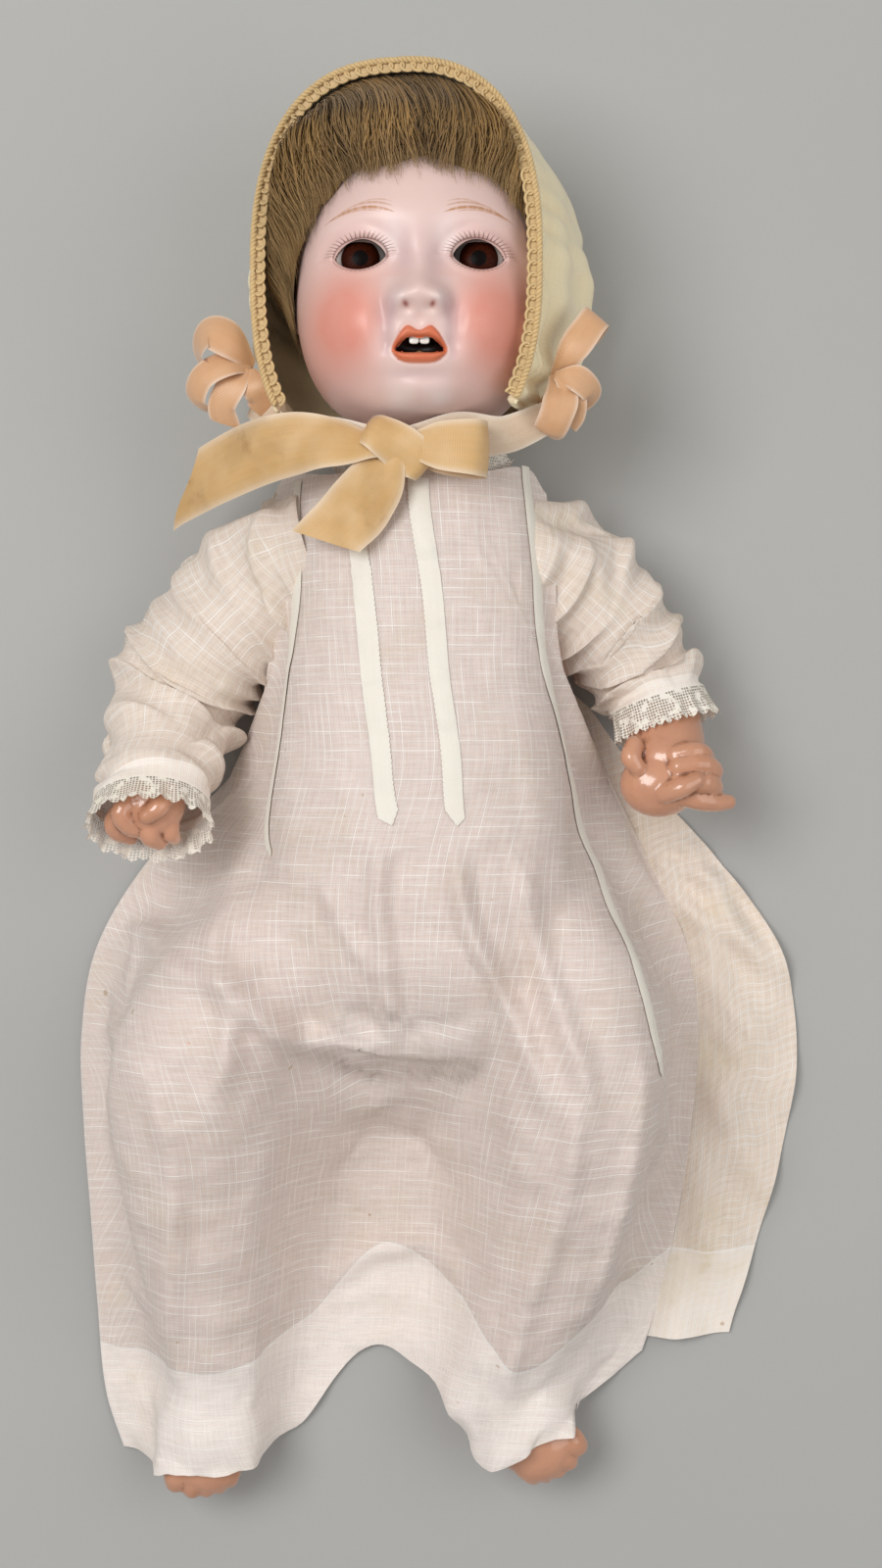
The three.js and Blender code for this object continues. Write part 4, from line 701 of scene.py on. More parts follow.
def glass_finish(name):
    """Blown glass eyes: pupil, streaked brown iris, the white round it painted grey and darker beside the
    iris as painted shade, and a tinted lid above.
    """
    tone, iris = colours(), sizes().iris_radius / MM
    look = Finish(name, Roughness=0.32, Specular_IOR_Level=0.04)
    place = look.place()
    x, y, z = look.split(place)
    side, rise, deep = (
        x.math("ABSOLUTE") - float(EYE[0]), y - float(HEAD[1] + EYE[1]), z - float(HEAD[2] + EYE[2])
    )
    far = (side * side + rise * rise).math("SQRT")
    turn = rise.math("ARCTAN2", side)
    spin = look.node("CombineXYZ", {0: turn * 6.0, 1: far * 0.22, 2: x.math("SIGN")})
    streak = look.noise(Wire(look, spin.outputs[0]), 0.35, 3.0, 0.6)
    brown = look.tint(streak.step(0.3, 0.75), shade_of(tone.iris, 0.5), shade_of(tone.iris, 1.5))
    brown = look.tint(far.step(iris * 0.62, iris) * 0.8, brown, shade_of(tone.iris, 0.28))
    brown = look.tint(far.step(iris * 0.44, iris * 0.36), brown, (0.006, 0.004, 0.004))
    # painted shade: the white of the eye is grey, and darker still beside the iris
    white = look.tint(look.noise(place, 5.0), srgb("a89f9a"), srgb("bfb7b2"))
    white = look.tint(far.step(iris, iris + 1.6).flip() * 0.5, white, srgb("5c514c"))
    colour = look.tint(far.step(iris - 0.25, iris + 0.2), brown, white)
    colour = look.tint(deep.step(0.5, -0.5), colour, srgb("cfc8c2"))
    lid = rise.math("ARCTAN2", deep).step(0.555, 0.575)
    skin = look.tint(look.noise(place, 4.0), shade_of(tone.bisque, 0.9), tone.bisque)
    look.set("Base Color", look.tint(lid, colour, skin))
    look.set("Roughness", lid * 0.1 + 0.32)
    return look.material


def mohair_finish(name):
    tone = colours()
    look = Finish(name, Roughness=0.5, Specular_IOR_Level=0.35, Sheen_Weight=0.15)
    place = look.place()
    lock, tip = look.mark("lock"), look.mark("tip")
    mottle = look.mottle(place, 7.0, 1.4)
    colour = look.tint(lock, shade_of(tone.hair, 0.42), shade_of(tone.hair, 1.55))
    colour = look.tint(mottle * 0.5, colour, shade_of(tone.hair, 0.6))
    colour = look.tint(tip.step(0.45, 1.0) * lock * 0.7, colour, srgb("c4a678"))
    look.set("Base Color", colour)
    look.set("Roughness", mottle * 0.2 + 0.42)
    look.relief(look.noise(look.stretch(place, 1.0, 0.12, 1.0), 0.5, 2.0), 0.08)
    return look.material


def composition_finish(name):
    """Varnished paint on composition: uneven salmon, brown in the hollows as dirt and painted shade, rubbed
    on the high spots.
    """
    tone = colours()
    look = Finish(name, Roughness=0.3, Coat_Weight=0.7, Coat_Roughness=0.09)
    place = look.place()
    mottle = look.mottle(place, 22.0, 1.5)
    dirt_and_shade, edge = look.use("Crevices", Place=place, Reach=1.0)
    stain = look.stain(place, 0.45)
    colour = look.tint(mottle, shade_of(tone.composition, 0.82), shade_of(tone.composition, 1.12))
    colour = look.tint(stain, colour, srgb("a8683f"))
    # brown in the hollows: dirt and painted shade
    colour = look.tint(dirt_and_shade * 0.85, colour, srgb("6f3c1c"))
    colour = look.tint(edge * 0.35, colour, srgb("e3b79c"))
    look.set("Base Color", colour)
    look.set("Roughness", mottle * 0.14 + dirt_and_shade * 0.2 + 0.2)
    look.set("Coat Weight", (dirt_and_shade * 0.6).flip() * 0.8)
    look.relief(look.noise(place, 2.6, 4.0) * 0.6 + mottle, 0.12)
    return look.material


def lawn_finish(name, clear=0.8, aged=0.4, warm=0.0):
    """Sheer checked lawn: white threads on a warmer ground, doubled and stitched at the hem."""
    tone = colours()
    look = Finish(name, Roughness=0.8, Specular_IOR_Level=0.15, Sheen_Weight=0.12)
    cloth, place = look.cloth(), look.place()
    lines, weave, height = look.use("Check lawn", Cloth=cloth, Pitch=sizes().check_pitch / MM)
    within = look.mark("hem")
    hem, stitch = within.step(0.47, 0.53), within.step(0.475, 0.5) * within.step(0.55, 0.525) * 0.6
    stain = look.stain(place, aged)
    ground = toward(tone.lawn, srgb("ead8b2"), warm)
    white = toward(ground, (1, 0.98, 0.94), 0.8)
    colour = look.tint(weave.step(0.4, 0.62) * 0.35, shade_of(ground, 0.94), ground)
    colour = look.tint(hem * 0.4, colour, white)
    colour = look.tint(lines * 0.75, colour, white)
    spots = look.noise(place, 8.0, 1.0).step(0.79, 0.81)
    colour = look.tint(spots * 0.5, colour, srgb("b08a55"))
    colour = look.tint(stain * 0.6, colour, srgb("d8c49a"))
    look.set("Base Color", look.tint(stitch * 0.7, colour, (0.95, 0.95, 0.93)))
    veil = weave.step(0.3, 0.7) * 0.14 + (clear - 0.07)
    veil = veil.math("MAXIMUM", lines * 0.96).math("MAXIMUM", stitch * 0.95)
    look.set("Alpha", (veil + hem * 0.16).math("MINIMUM", 1.0))
    look.relief(height, 0.14)
    return look.material


def lace_finish(name):
    tone = colours()
    look = Finish(name, Roughness=0.8, Specular_IOR_Level=0.2)
    cloth, place = look.cloth(), look.place()
    net = look.use("Lace net", Cloth=cloth, Hole=2.4)[0]
    stain = look.stain(place, 0.5)
    look.set("Base Color", look.tint(stain * 0.5, tone.lace, srgb("d8c69c")))
    look.set("Alpha", net * 0.72 + 0.26)
    look.relief(net + look.noise(cloth, 0.7, 2.0) * 0.4, 0.2)
    return look.material


def tape_finish(name):
    tone = colours()
    look = Finish(name, Roughness=0.7, Sheen_Weight=0.2)
    cloth, place = look.cloth(), look.place()
    height, streak = look.use("Ribbed silk", Cloth=cloth, Pitch=0.7)
    stain = look.stain(place, 0.4)
    colour = look.tint(streak, shade_of(tone.lace, 0.92), tone.lace)
    look.set("Base Color", look.tint(stain * 0.4, colour, srgb("d6c7a2")))
    look.relief(height, 0.1)
    return look.material


def silk(name, base, age, stained, rough):
    """Ribbon: ribbed, streaked, stained with age and paler along its woven edges."""
    look = Finish(name, Roughness=rough, Sheen_Weight=0.25, Anisotropic=0.4)
    cloth, place = look.cloth(), look.place()
    height, streak = look.use("Ribbed silk", Cloth=cloth, Pitch=0.75)
    stain = look.stain(place, stained)
    mottle = look.mottle(place, 11.0, 1.6)
    colour = look.tint(streak, shade_of(base, 0.86), shade_of(base, 1.08))
    colour = look.tint(mottle * 0.3, colour, toward(base, srgb("f4e7d2"), 0.5))
    colour = look.tint(stain, colour, age)
    colour = look.tint(look.mark("selvedge") * 0.55, colour, toward(base, (1, 1, 0.95), 0.6))
    look.set("Base Color", colour)
    look.set("Roughness", streak * 0.15 + (rough - 0.08))
    look.relief(height, 0.12)
    return look.material


def bonnet_finish(name):
    tone = colours()
    look = Finish(name, Roughness=0.5, Sheen_Weight=0.3)
    cloth, place = look.cloth(), look.place()
    height, streak = look.use("Ribbed silk", Cloth=cloth, Pitch=1.0)
    stain = look.stain(place, 0.5)
    mottle = look.mottle(place, 18.0, 1.4)
    dirt_and_shade = look.use("Crevices", Place=place, Reach=0.7)[0]
    colour = look.tint(streak, shade_of(tone.bonnet, 0.92), shade_of(tone.bonnet, 1.05))
    colour = look.tint(stain * 0.35 + mottle * 0.1, colour, srgb("efd095"))
    # darker yellow in the hollows of the silk: dirt and painted shade
    look.set("Base Color", look.tint(dirt_and_shade * 0.3, colour, srgb("dcae66")))
    look.set("Roughness", streak * 0.2 + 0.42)
    look.relief(height, 0.1)
    return look.material


def braid_finish(name):
    tone = colours()
    look = Finish(name, Roughness=0.5, Sheen_Weight=0.3)
    place = look.place()
    mottle = look.mottle(place, 4.0, 1.6)
    dirt_and_shade = look.use("Crevices", Place=place, Reach=1.0)[0]
    colour = look.tint(mottle, shade_of(tone.braid, 0.82), shade_of(tone.braid, 1.1))
    # darker in the hollows between the loops: dirt and painted shade
    look.set("Base Color", look.tint(dirt_and_shade * 0.6, colour, srgb("a98c58")))
    look.relief(look.noise(place, 0.7, 2.0), 0.1)
    return look.material


def enamel_finish(name):
    look = Finish(name, Roughness=0.2, Coat_Weight=0.6)
    mottle = look.mottle(look.place(), 3.0, 1.0)
    look.set("Base Color", look.tint(mottle, srgb("e9e4da"), srgb("f7f4ee")))
    return look.material


def plain_stuff(name, dark, light, size, rough, metal=0.0, rise=0.1):
    """Materials of the works inside: a mottled colour with grain at its own scale, darker in its hollows as
    dirt and painted shade.
    """
    look = Finish(name, Roughness=rough, Metallic=metal)
    place = look.place()
    mottle = look.mottle(place, size, 1.8)
    dirt_and_shade = look.use("Crevices", Place=place, Reach=1.0)[0]
    colour = look.tint(mottle, srgb(dark), srgb(light))
    # darker in the hollows: dirt and painted shade
    look.set("Base Color", look.tint(dirt_and_shade * 0.6, colour, shade_of(srgb(dark), 0.6)))
    look.set("Roughness", mottle * 0.2 + rough - 0.1)
    look.relief(look.noise(place, size * 0.3, 4.0), rise)
    return look.material


def floor_finish(name):
    tone = colours()
    look = Finish(name, Roughness=0.85, Specular_IOR_Level=0.15)
    place = look.place()
    mottle = look.mottle(place, 160.0, 1.0)
    look.set("Base Color", look.tint(mottle, shade_of(tone.floor, 0.97), shade_of(tone.floor, 1.03)))
    look.relief(look.noise(place, 1.2, 3.0), 0.05)
    return look.material


FINISHES = {
    "bisque": bisque_finish,
    "eye_glass": glass_finish,
    "mohair": mohair_finish,
    "composition": composition_finish,
    "lawn": lawn_finish,
    "back_lawn": lambda n: lawn_finish(n, clear=0.94, aged=0.8, warm=0.3),
    "sleeve_lawn": lambda n: lawn_finish(n, clear=0.88, aged=0.7, warm=0.25),
    "lace": lace_finish,
    "tape": tape_finish,
    "bow_ribbon": lambda n: silk(n, colours().ribbon, srgb("a67d45"), stained=0.75, rough=0.45),
    "peach_ribbon": lambda n: silk(n, colours().peach, srgb("b98a62"), stained=0.5, rough=0.42),
    "tie_ribbon": lambda n: silk(n, colours().tie, srgb("c79f78"), stained=0.5, rough=0.36),
    "bonnet_silk": bonnet_finish,
    "braid": braid_finish,
    "enamel": enamel_finish,
    "floor": floor_finish,
    "iron": lambda n: plain_stuff(n, "5b5651", "8c867e", 4.0, 0.45, 0.9, 0.05),
    "elastic": lambda n: plain_stuff(n, "8d8070", "c4b8a6", 1.5, 0.85),
    "plaster": lambda n: plain_stuff(n, "cfc8bb", "ece7dc", 3.0, 0.9),
    "card": lambda n: plain_stuff(n, "8f7a5b", "b8a07c", 5.0, 0.9),
    "wood": lambda n: plain_stuff(n, "8a6238", "bd915c", 5.0, 0.6),
    "lead": lambda n: plain_stuff(n, "54565a", "83858a", 3.0, 0.55, 0.8),
    "cork": lambda n: plain_stuff(n, "7d5a36", "b58c5c", 1.6, 0.9, 0.0, 0.25),
    "cap_net": lambda n: plain_stuff(n, "8d7c66", "b9a88f", 1.2, 0.9),
}


def finish(name):
    """The doll's own finish of that name, made the first time it is asked for."""
    label = "doll_" + name
    return bpy.data.materials.get(label) or FINISHES[name](label)


# Head

# swells and hollows of the face: rise, place across and up, half width and half height
FACE_FORMS = [
    (2, 0, 25, 26, 15),
    (-4.3, 23.2, 1, 11.5, 7.5),
    (-2.5, 9, -1, 6, 7),
    (1.5, 22, 15, 14, 6),
    (6.6, 30, -27, 12.5, 12.5),
    (4, 0, -36, 15, 11),
    (6, 0, -52, 12, 7),
    (8.4, 0, -16, 5.5, 5.0),
    (2.8, 0, -5, 4.2, 8),
    (5.2, 7.8, -18.4, 2.9, 3.0),
    (-2.3, 14.2, -24, 2.8, 7),
    (-2.2, 4.6, -21.6, 1.9, 1.4),
    (-0.9, 0, -25.5, 1.5, 2.6),
    (-2.6, 0, -46.2, 9, 2.4),
    (-1.8, 13.0, -34.5, 2.4, 3.0),
]
UPPER_LIP = [
    (-10.9, -37.3), (-9.7, -34.0), (-5.0, -28.1), (0, -29.9), (5.0, -28.1), (9.7, -34.0), (10.9, -37.3)
]
LIP_LINE = [*UPPER_LIP, (9.0, -39.9), (5.6, -41.8), (0, -42.2), (-5.6, -41.8), (-9.0, -39.9), UPPER_LIP[0]]
MOUTH_TOP = [
    (-10.0, -37.1), (-8.2, -34.6), (-4.2, -32.6), (0, -32.5), (4.2, -32.6), (8.2, -34.6), (10.0, -37.1)
]
MOUTH_LINE = [*MOUTH_TOP, (7.0, -38.0), (3.6, -38.2), (0, -38.2), (-3.6, -38.2), (-7.0, -38.0), MOUTH_TOP[0]]


def skull(turn, y, offset=0.0):
    """Plain head at a turn from the front and a height, before the face is modelled on it."""
    upper = y >= 0
    s = y / (np.where(upper, SKULL_UP, SKULL_DOWN) + offset)
    wide = (SKULL_WIDE + offset) * roundness(s, np.where(upper, 2.2, 2.6))
    front = np.cos(turn)
    power = np.where(front >= 0, np.where(upper, 2.3, 3.2), np.where(upper, 2.2, 2.1))
    deep = (np.where(front >= 0, SKULL_FRONT, SKULL_BACK) + offset) * roundness(s, power)
    return wide * signed_power(np.sin(turn), 2 / SKULL_POWER), deep * signed_power(front, 2 / SKULL_POWER)


def turn_at(x, y):
    """The turn at which a point of the plain head lies x across."""
    wide = skull(np.pi / 2, y)[0]
    return np.arcsin(np.clip(signed_power(x / np.maximum(wide, 1e-6), SKULL_POWER / 2), -1, 1))


def almond(side):
    u = np.sin(np.linspace(-np.pi / 2, np.pi / 2, 33))
    arch = (1 - u * u) ** 0.74
    top = np.stack([u * EYE_WIDTH / 2, arch * EYE_UPPER], 1)
    low = np.stack([u * EYE_WIDTH / 2, -arch * EYE_LOWER], 1)[::-1]
    return np.vstack([top, low[1:-1]]) + (side * EYE[0], EYE[1])


def outline(points, count=72):
    return curve(points, np.linspace(0, 1, count, endpoint=False))


def edge_distance(x, y, line):
    """Distance to a closed outline, negative inside it, and the nearest point of the outline."""
    a, b = line, np.roll(line, -1, 0)
    ab = b - a
    px, py = x[..., None], y[..., None]
    t = np.clip(((px - a[:, 0]) * ab[:, 0] + (py - a[:, 1]) * ab[:, 1]) / (ab**2).sum(1), 0, 1)
    qx, qy = a[:, 0] + t * ab[:, 0], a[:, 1] + t * ab[:, 1]
    far = np.hypot(px - qx, py - qy)
    best = far.argmin(-1)[..., None]
    with np.errstate(divide="ignore", invalid="ignore"):
        crossing = ((a[:, 1] > py) != (b[:, 1] > py)) & (px < ab[:, 0] * (py - a[:, 1]) / ab[:, 1] + a[:, 0])
    inside = crossing.sum(-1) % 2 == 1
    take = lambda table: np.take_along_axis(table, best, -1)[..., 0]
    distance = take(far)
    return np.where(inside, -distance, distance), take(qx), take(qy)


def face_relief(x, y, openings, lips):
    total = np.zeros_like(x)
    for rise, across, up, wide, tall in FACE_FORMS:
        for middle in {-across, across}:
            total += rise * np.exp(-0.5 * ((x - middle) / wide) ** 2 - 0.5 * ((y - up) / tall) ** 2)
    for eye in openings[:2]:
        above = np.where(eye[1] > EYE[1], 1.0, 0.55)
        total += (
            0.8 * np.exp(-(((eye[0] - 1.9) / 1.7) ** 2)) * above
            - 0.4 * np.exp(-(((eye[0] - 5.2) / 1.8) ** 2)) * (above > 0.9)
        )
        total -= 0.9 * np.exp(-((np.maximum(eye[0], 0) / 0.7) ** 2))
    mouth = openings[2]
    inside = np.clip(mouth[0], 0, None)
    share = inside / np.maximum(inside + np.clip(-lips, 0, None), 1e-6)
    full = np.where((lips < 0) & (mouth[0] > 0), np.sin(np.pi * np.clip(share, 0, 1)) ** 0.7, 0)
    full = full * smooth(0.4, 2.6, np.clip(mouth[0], 0, None) + np.clip(-lips, 0, None))
    total += 1.7 * full - 0.4 * np.exp(-((lips / 0.8) ** 2))
    total -= 0.7 * np.exp(-((np.maximum(mouth[0], 0) / 0.6) ** 2))
    return total


def face_at(x, y):
    """Relief of the face at points across and up, with how far each lies from the eyes, mouth and lips."""
    eyes = [edge_distance(x, y, almond(side)) for side in (-1, 1)]
    mouth = edge_distance(x, y, outline(MOUTH_LINE))
    lips = edge_distance(x, y, outline(LIP_LINE))[0]
    openings = [(d, y, qx, qy) for d, qx, qy in (*eyes, mouth)]
    return face_relief(x, y, openings, lips), openings, lips


def build_head():
    """Bisque head: relief on the skull, openings for eyes and mouth, open crown, socket neck and ears."""
    even = np.linspace(-np.pi, np.pi, 361)[:-1]
    turn, y = np.meshgrid(even - 0.62 * np.sin(even), np.linspace(67.4, -61.7, 270))
    x, z = skull(turn, y)
    facing = smooth(0, 0.35, np.cos(turn))
    near = (np.cos(turn) > 0.05) & (y < 45)
    relief, inside = np.zeros_like(x), np.zeros_like(x, bool)
    paint = {key: np.zeros_like(x) for key in ("lips", "blush", "shade", "light", "mouth", "dots")}
    fx, fy = x[near].copy(), y[near].copy()
    rise, openings, lips = face_at(fx, fy)
    hole = np.zeros(len(fx), bool)
    for distance, _, qx, qy in openings:
        within = distance < 0
        hole |= within
        fx[within], fy[within] = qx[within], qy[within]
    rise, openings, lips = face_at(fx, fy)
    x[near], y[near], relief[near], inside[near] = fx, fy, rise, hole
    moved = turn_at(x, y)
    z = np.where(inside, skull(moved, y)[1], z) + relief * facing
    ax = np.abs(fx)
    around = lambda mx, my, w, h: np.exp(-0.5 * ((ax - mx) / w) ** 2 - 0.5 * ((fy - my) / h) ** 2)
    mouth = openings[2][0]
    paint["lips"][near] = smooth(0.35, -0.35, lips) * smooth(-0.2, 0.3, mouth + 0.25)
    flush = 1.2 * around(30, -25, 11.5, 15) + 0.25 * around(0, -53, 9, 5) + 0.25 * around(23, 11, 10, 4)
    paint["blush"][near] = np.clip(flush, 0, 0.95) * smooth(9, 17, ax + 9 * (fy > -8))
    # painted shade in the folds beside the nose and mouth, at the bridge, above the eyes and under the lower
    # lip
    fold_shade = (
        0.7 * around(13.6, -25, 2.8, 6.5) + 0.45 * around(6.5, 1, 4.0, 7) + 0.35 * around(0, -46.5, 8, 1.8)
        + 0.4 * around(10.6, -20, 1.8, 3)
    )
    fold_shade += 0.2 * around(23.2, 9, 8, 2.0) + 0.4 * around(13.0, -36, 2, 3)
    paint["shade"][near] = np.clip(fold_shade, 0, 0.6) * smooth(-0.2, 1.5, lips)
    # painted highlights on the lids, at the inner corners of the eyes, beside the mouth, on the chin and on
    # the nose's wings
    lights = (
        0.75 * around(23, 12, 10, 3.2) + 0.95 * around(11, 7.5, 3.2, 4.5) + 0.6 * around(16.5, -33, 2.4, 5)
        + 0.6 * around(7.5, -54, 4.5, 2.5)
    )
    paint["light"][near] = np.clip(lights + 0.5 * around(8.5, -17.5, 2.5, 2.5), 0, 0.95)
    nostril = np.exp(-(((ax - 5.2) / 1.1) ** 2) - ((fy + 21.6 - 0.2 * ax) / 0.9) ** 2)
    corner = np.exp(-(((ax - 12.6) / 0.8) ** 2) - ((fy - 0.4) / 0.8) ** 2)
    paint["dots"][near] = np.clip(0.9 * nostril + 0.7 * corner, 0, 1)
    points = joined(x, y, z) + HEAD
    faces = grid_faces(*x.shape, True)
    flat_inside, flat = inside.ravel(), points.reshape(-1, 3)
    crown = (flat - HEAD - (0, 50, 0)) @ np.array((0, np.cos(np.radians(22)), -np.sin(np.radians(22)))) > 0
    kept = faces[~flat_inside[faces].all(1) & ~crown[faces].all(1)]
    skin = Skin()
    skin.add(flat, kept)
    skin.faces.append(list(range(len(flat) - x.shape[1], len(flat))))
    body = skin.size
    # socket neck, turned to a ball at its end
    lathe = curve(
        [(23.0, -38), (22.0, -52), (23.2, -62), (24.0, -71),
         (22.4, -80), (17.0, -88), (9.0, -93.2), (8.6, -90.5)],
        np.linspace(0, 1, 46)
    )
    spin = np.linspace(0, 2 * np.pi, 64, endpoint=False)
    ring = joined(lathe[:, :1] * np.cos(spin), lathe[:, 1:] + 0 * spin, lathe[:, :1] * np.sin(spin))
    skin.sheet(ring + HEAD + (0, 0, -6.9), wrap=True)
    # the mouth's inside, behind lips and teeth: a cup painted near-black as painted shade
    u, v = np.meshgrid(np.linspace(-1, 1, 17), np.linspace(1, -1, 11))
    cup = joined(u * 10.5, -34.8 + v * 5.2, 45.5 - 5.5 * (1 - u * u) * (1 - v * v)) + HEAD
    first = skin.size
    skin.sheet(cup)
    painted_shade_cup = slice(first - body, skin.size - body)
    for side in (-1, 1):
        a, b = np.meshgrid(np.linspace(0, 1, 19), np.linspace(0, 2 * np.pi, 49)[:-1])
        rim = 1 - 0.42 * np.exp(-(((a - 0.55) / 0.2) ** 2)) - 0.25 * np.exp(-(((a - 0.1) / 0.2) ** 2))
        ear = joined(
            side * (3.6 * rim * np.cos(a * np.pi / 2)), 12.0 * np.sin(b) * np.sin(a * np.pi / 2),
            7.4 * np.cos(b) * np.sin(a * np.pi / 2)
        )
        skin.sheet(np.swapaxes(ear, 0, 1) + HEAD + (side * 50.5, -7, -9), wrap=True, flip=side > 0)
    head = skin.make("bisque_head_cast", finish("bisque"), "bisque")
    for key, values in paint.items():
        extra = np.zeros(skin.size - body)
        if key == "mouth":
            extra[painted_shade_cup] = 1
        mark(head, key, np.concatenate([values.ravel(), extra]))
    wall = head.modifiers.new("Wall", "SOLIDIFY")
    wall.thickness, wall.offset = sizes().bisque_wall, -1
    baked(head)
    head.data.set_sharp_from_angle(angle=np.radians(55))
    return ride(head, "head", "bisque_head")


def build_teeth():
    skin = Skin()
    for side in (-1, 1):
        skin.egg(HEAD + (side * 2.05, -32.9, 52.8), (1.95, 1.8, 1.0), 12, 20, 0.62)
    skin.egg(HEAD + (0, -30.6, 51.4), (5.6, 1.5, 1.4), 10, 20, 0.8)
    return ride(skin.make("upper_teeth_pair", finish("enamel"), "enamel"), "head", "upper_teeth")


def build_eyes():
    for side, name in ((1, "left"), (-1, "right")):
        skin = Skin()
        skin.egg(HEAD + EYE * (side, 1, 1), (EYE_RADIUS,) * 3, 64, 96)
        ride(skin.make(name + "_eye_blown", finish("eye_glass"), "eye_glass"), "sleep_eyes", name + "_eye")


def hair_line(turn):
    """Height at which the hair ends, from the fringe round to the nape."""
    fringe = np.interp(
        np.abs(turn),
        np.radians([0, 18, 34, 48, 58, 70, 86, 112, 180]),
        [38, 37, 32, 24, 12, -4, -16, -23, -24]
    )
    return fringe + 1.6 * np.sin(turn * 11 + 1) * (np.abs(turn) < 1.4)


def hair_puff(turn, y, t, layer):
    """How far the hair stands off the head: it rolls forward over the brow and is fuller at the right."""
    full = smooth(-0.2, 0.5, np.cos(turn)) * (
        7 * smooth(32, 56, y) * smooth(0, 0.35, t) + 3.5 * smooth(-20, 8, y)
    )
    return full + 11 * layer * smooth(-0.35, -1.1, turn) * smooth(-2.0, -1.5, turn) * smooth(-26, 4, y)


def tucked(points):
    """Hair pressed in where it would stand out through the bonnet."""
    x, y, z = points[..., 0], points[..., 1] - HEAD[1], points[..., 2]
    full = smooth(SIDE_FULL, 1, np.clip((z - BACK_Z) / BONNET_DEEP, 0.2, 1.05))
    bend = 2 / mix(1.0, ARCH, full)
    half = mix(BACK_WIDE, RIM_WIDE, full) - 3.2 - 1.2 * (x < RIM_SHIFT)
    across, up = np.abs(x - RIM_SHIFT * full) / half, np.abs(y) / 77.6
    far = (across**bend + up**bend) ** (1 / bend)
    press = np.where((y > -48) & (far > 1), 1 / np.maximum(far, 1), 1.0)
    return joined(RIM_SHIFT * full + (x - RIM_SHIFT * full) * press, HEAD[1] + y * press, z)


def from_edge(path, turn, t, deep):
    """Bends hair so that it comes out from under the bonnet's edge before it falls to the brow."""
    start = rim_point(np.pi / 2 - 0.95 * turn, 2.6, -deep) - HEAD
    weight = smooth(0.5, 0.0, t) * smooth(1.6, 1.2, np.abs(turn))
    return mix(path, start, weight[..., None])


def build_wig():
    """Mohair wig: a soft under-layer with locks combed down from the crown over it."""
    rng = np.random.default_rng(11)
    skin = Skin()
    even = np.linspace(-np.pi, np.pi, 181)[:-1]
    share = np.linspace(0, 1, 48)[:, None]
    turn = np.broadcast_to(even, (48, 180))
    y = mix(72.0, np.clip(hair_line(even), -24, 60)[None], share)
    puff = hair_puff(turn, y, share, 0.35)
    offset = (5.0 + puff) * (1 - 0.8 * smooth(0.6, 1, share)) + 0.5 * np.sin(even * 23 + 3 * np.sin(even * 7))
    x, z = skull(turn, y, offset)
    skin.sheet(tucked(from_edge(joined(x, y, z), turn, share, 10.0) + HEAD), wrap=True)
    count, steps = sizes().strands, 11
    turn0 = rng.uniform(-2.1, 2.1, (count, 1))
    tuft = np.round(turn0 * 17 + rng.normal(0, 0.35, (count, 1))) / 17
    layer = rng.uniform(0, 1, (count, 1))
    t = np.linspace(0, 1, steps)[None]
    top = rng.uniform(54, 74, (count, 1))
    ends = hair_line(turn0) + rng.normal(-0.8, 2.4, (count, 1)) + 2.6 * np.sin(tuft * 47)
    y = mix(top, np.minimum(ends, top - 14), t)
    gather = 0.55 * smooth(0.25, 1.0, t) * (tuft - turn0)
    turn = (
        turn0 + gather + rng.normal(0, 0.035, (count, 1)) * t**2 + 0.02 * np.sin(5 * t + 9 * layer)
        + 0.05 * np.sin(tuft * 13 + 2 * t) * t
    )
    puff = hair_puff(turn, y, t, layer)
    offset = (
        (puff + mix(5.0, 8.4, layer)) * (1 - 0.68 * smooth(0.55, 1, t)) + 0.5 * np.sin(5 * t + 20 * layer)
    )
    x, z = skull(turn, y, offset)
    path = from_edge(joined(x, y, z), turn0 + 0 * t, t, mix(9.0, 3.0, layer))
    ahead = unit(np.gradient(path, axis=1))
    out = unit(path / np.array((51.0, 65.0, 54.0)) ** 2)
    aside = unit(np.cross(ahead, out))
    out = np.cross(aside, ahead)
    thick = sizes().strand_radius / MM * mix(0.6, 1.2, rng.uniform(0, 1, (count, 1)))
    thick = thick * (1 - 0.85 * smooth(0.5, 1, t))
    ring = [
        path + thick[..., None] * (aside * c * 1.6 + out * s) for c, s in ((-1, -0.3), (1, -0.3), (0, 0.8))
    ]
    points = tucked(np.stack(ring, 2) + HEAD)
    single = grid_faces(steps, 3, True)
    faces = (np.arange(count)[:, None, None] * steps * 3 + single).reshape(-1, 4)
    skin.add(points, faces)
    wig = skin.make("combed_wig", finish("mohair"), "mohair")
    under = skin.size - count * steps * 3
    fleck = 0.6 * ((np.sin(tuft * 91.7) * 43.7) % 1) + 0.4 * rng.uniform(0, 1, (count, 1))
    for label, base, share in (("lock", 0.3, fleck), ("tip", 0.0, t)):
        combed = np.broadcast_to(share[..., None], (count, steps, 3)).ravel()
        mark(wig, label, np.concatenate([np.full(under, base), combed]))
    ride(wig, "head", "mohair_wig")
    share = np.linspace(0, 1, 24)[:, None]
    y = mix(70.0, -22.0, share) + 0 * even
    y = np.where(np.cos(even)[None] > -0.3, np.maximum(y, 42), y)
    x, z = skull(np.broadcast_to(even, y.shape), y, 2.2)
    weave = joined(even * 50 + 0 * y, y)
    cap = sheet_piece("wig_cap_net", "cap_net", "mohair", joined(x, y, z) + HEAD, weave, wrap=True)
    ride(cap, "head", "wig_cap")


# Bonnet and ribbons


def arch(a, power):
    """Across and up on a rounded arch, squarer than a circle where the power is under 1."""
    return signed_power(np.cos(a), power), signed_power(np.sin(a), power)


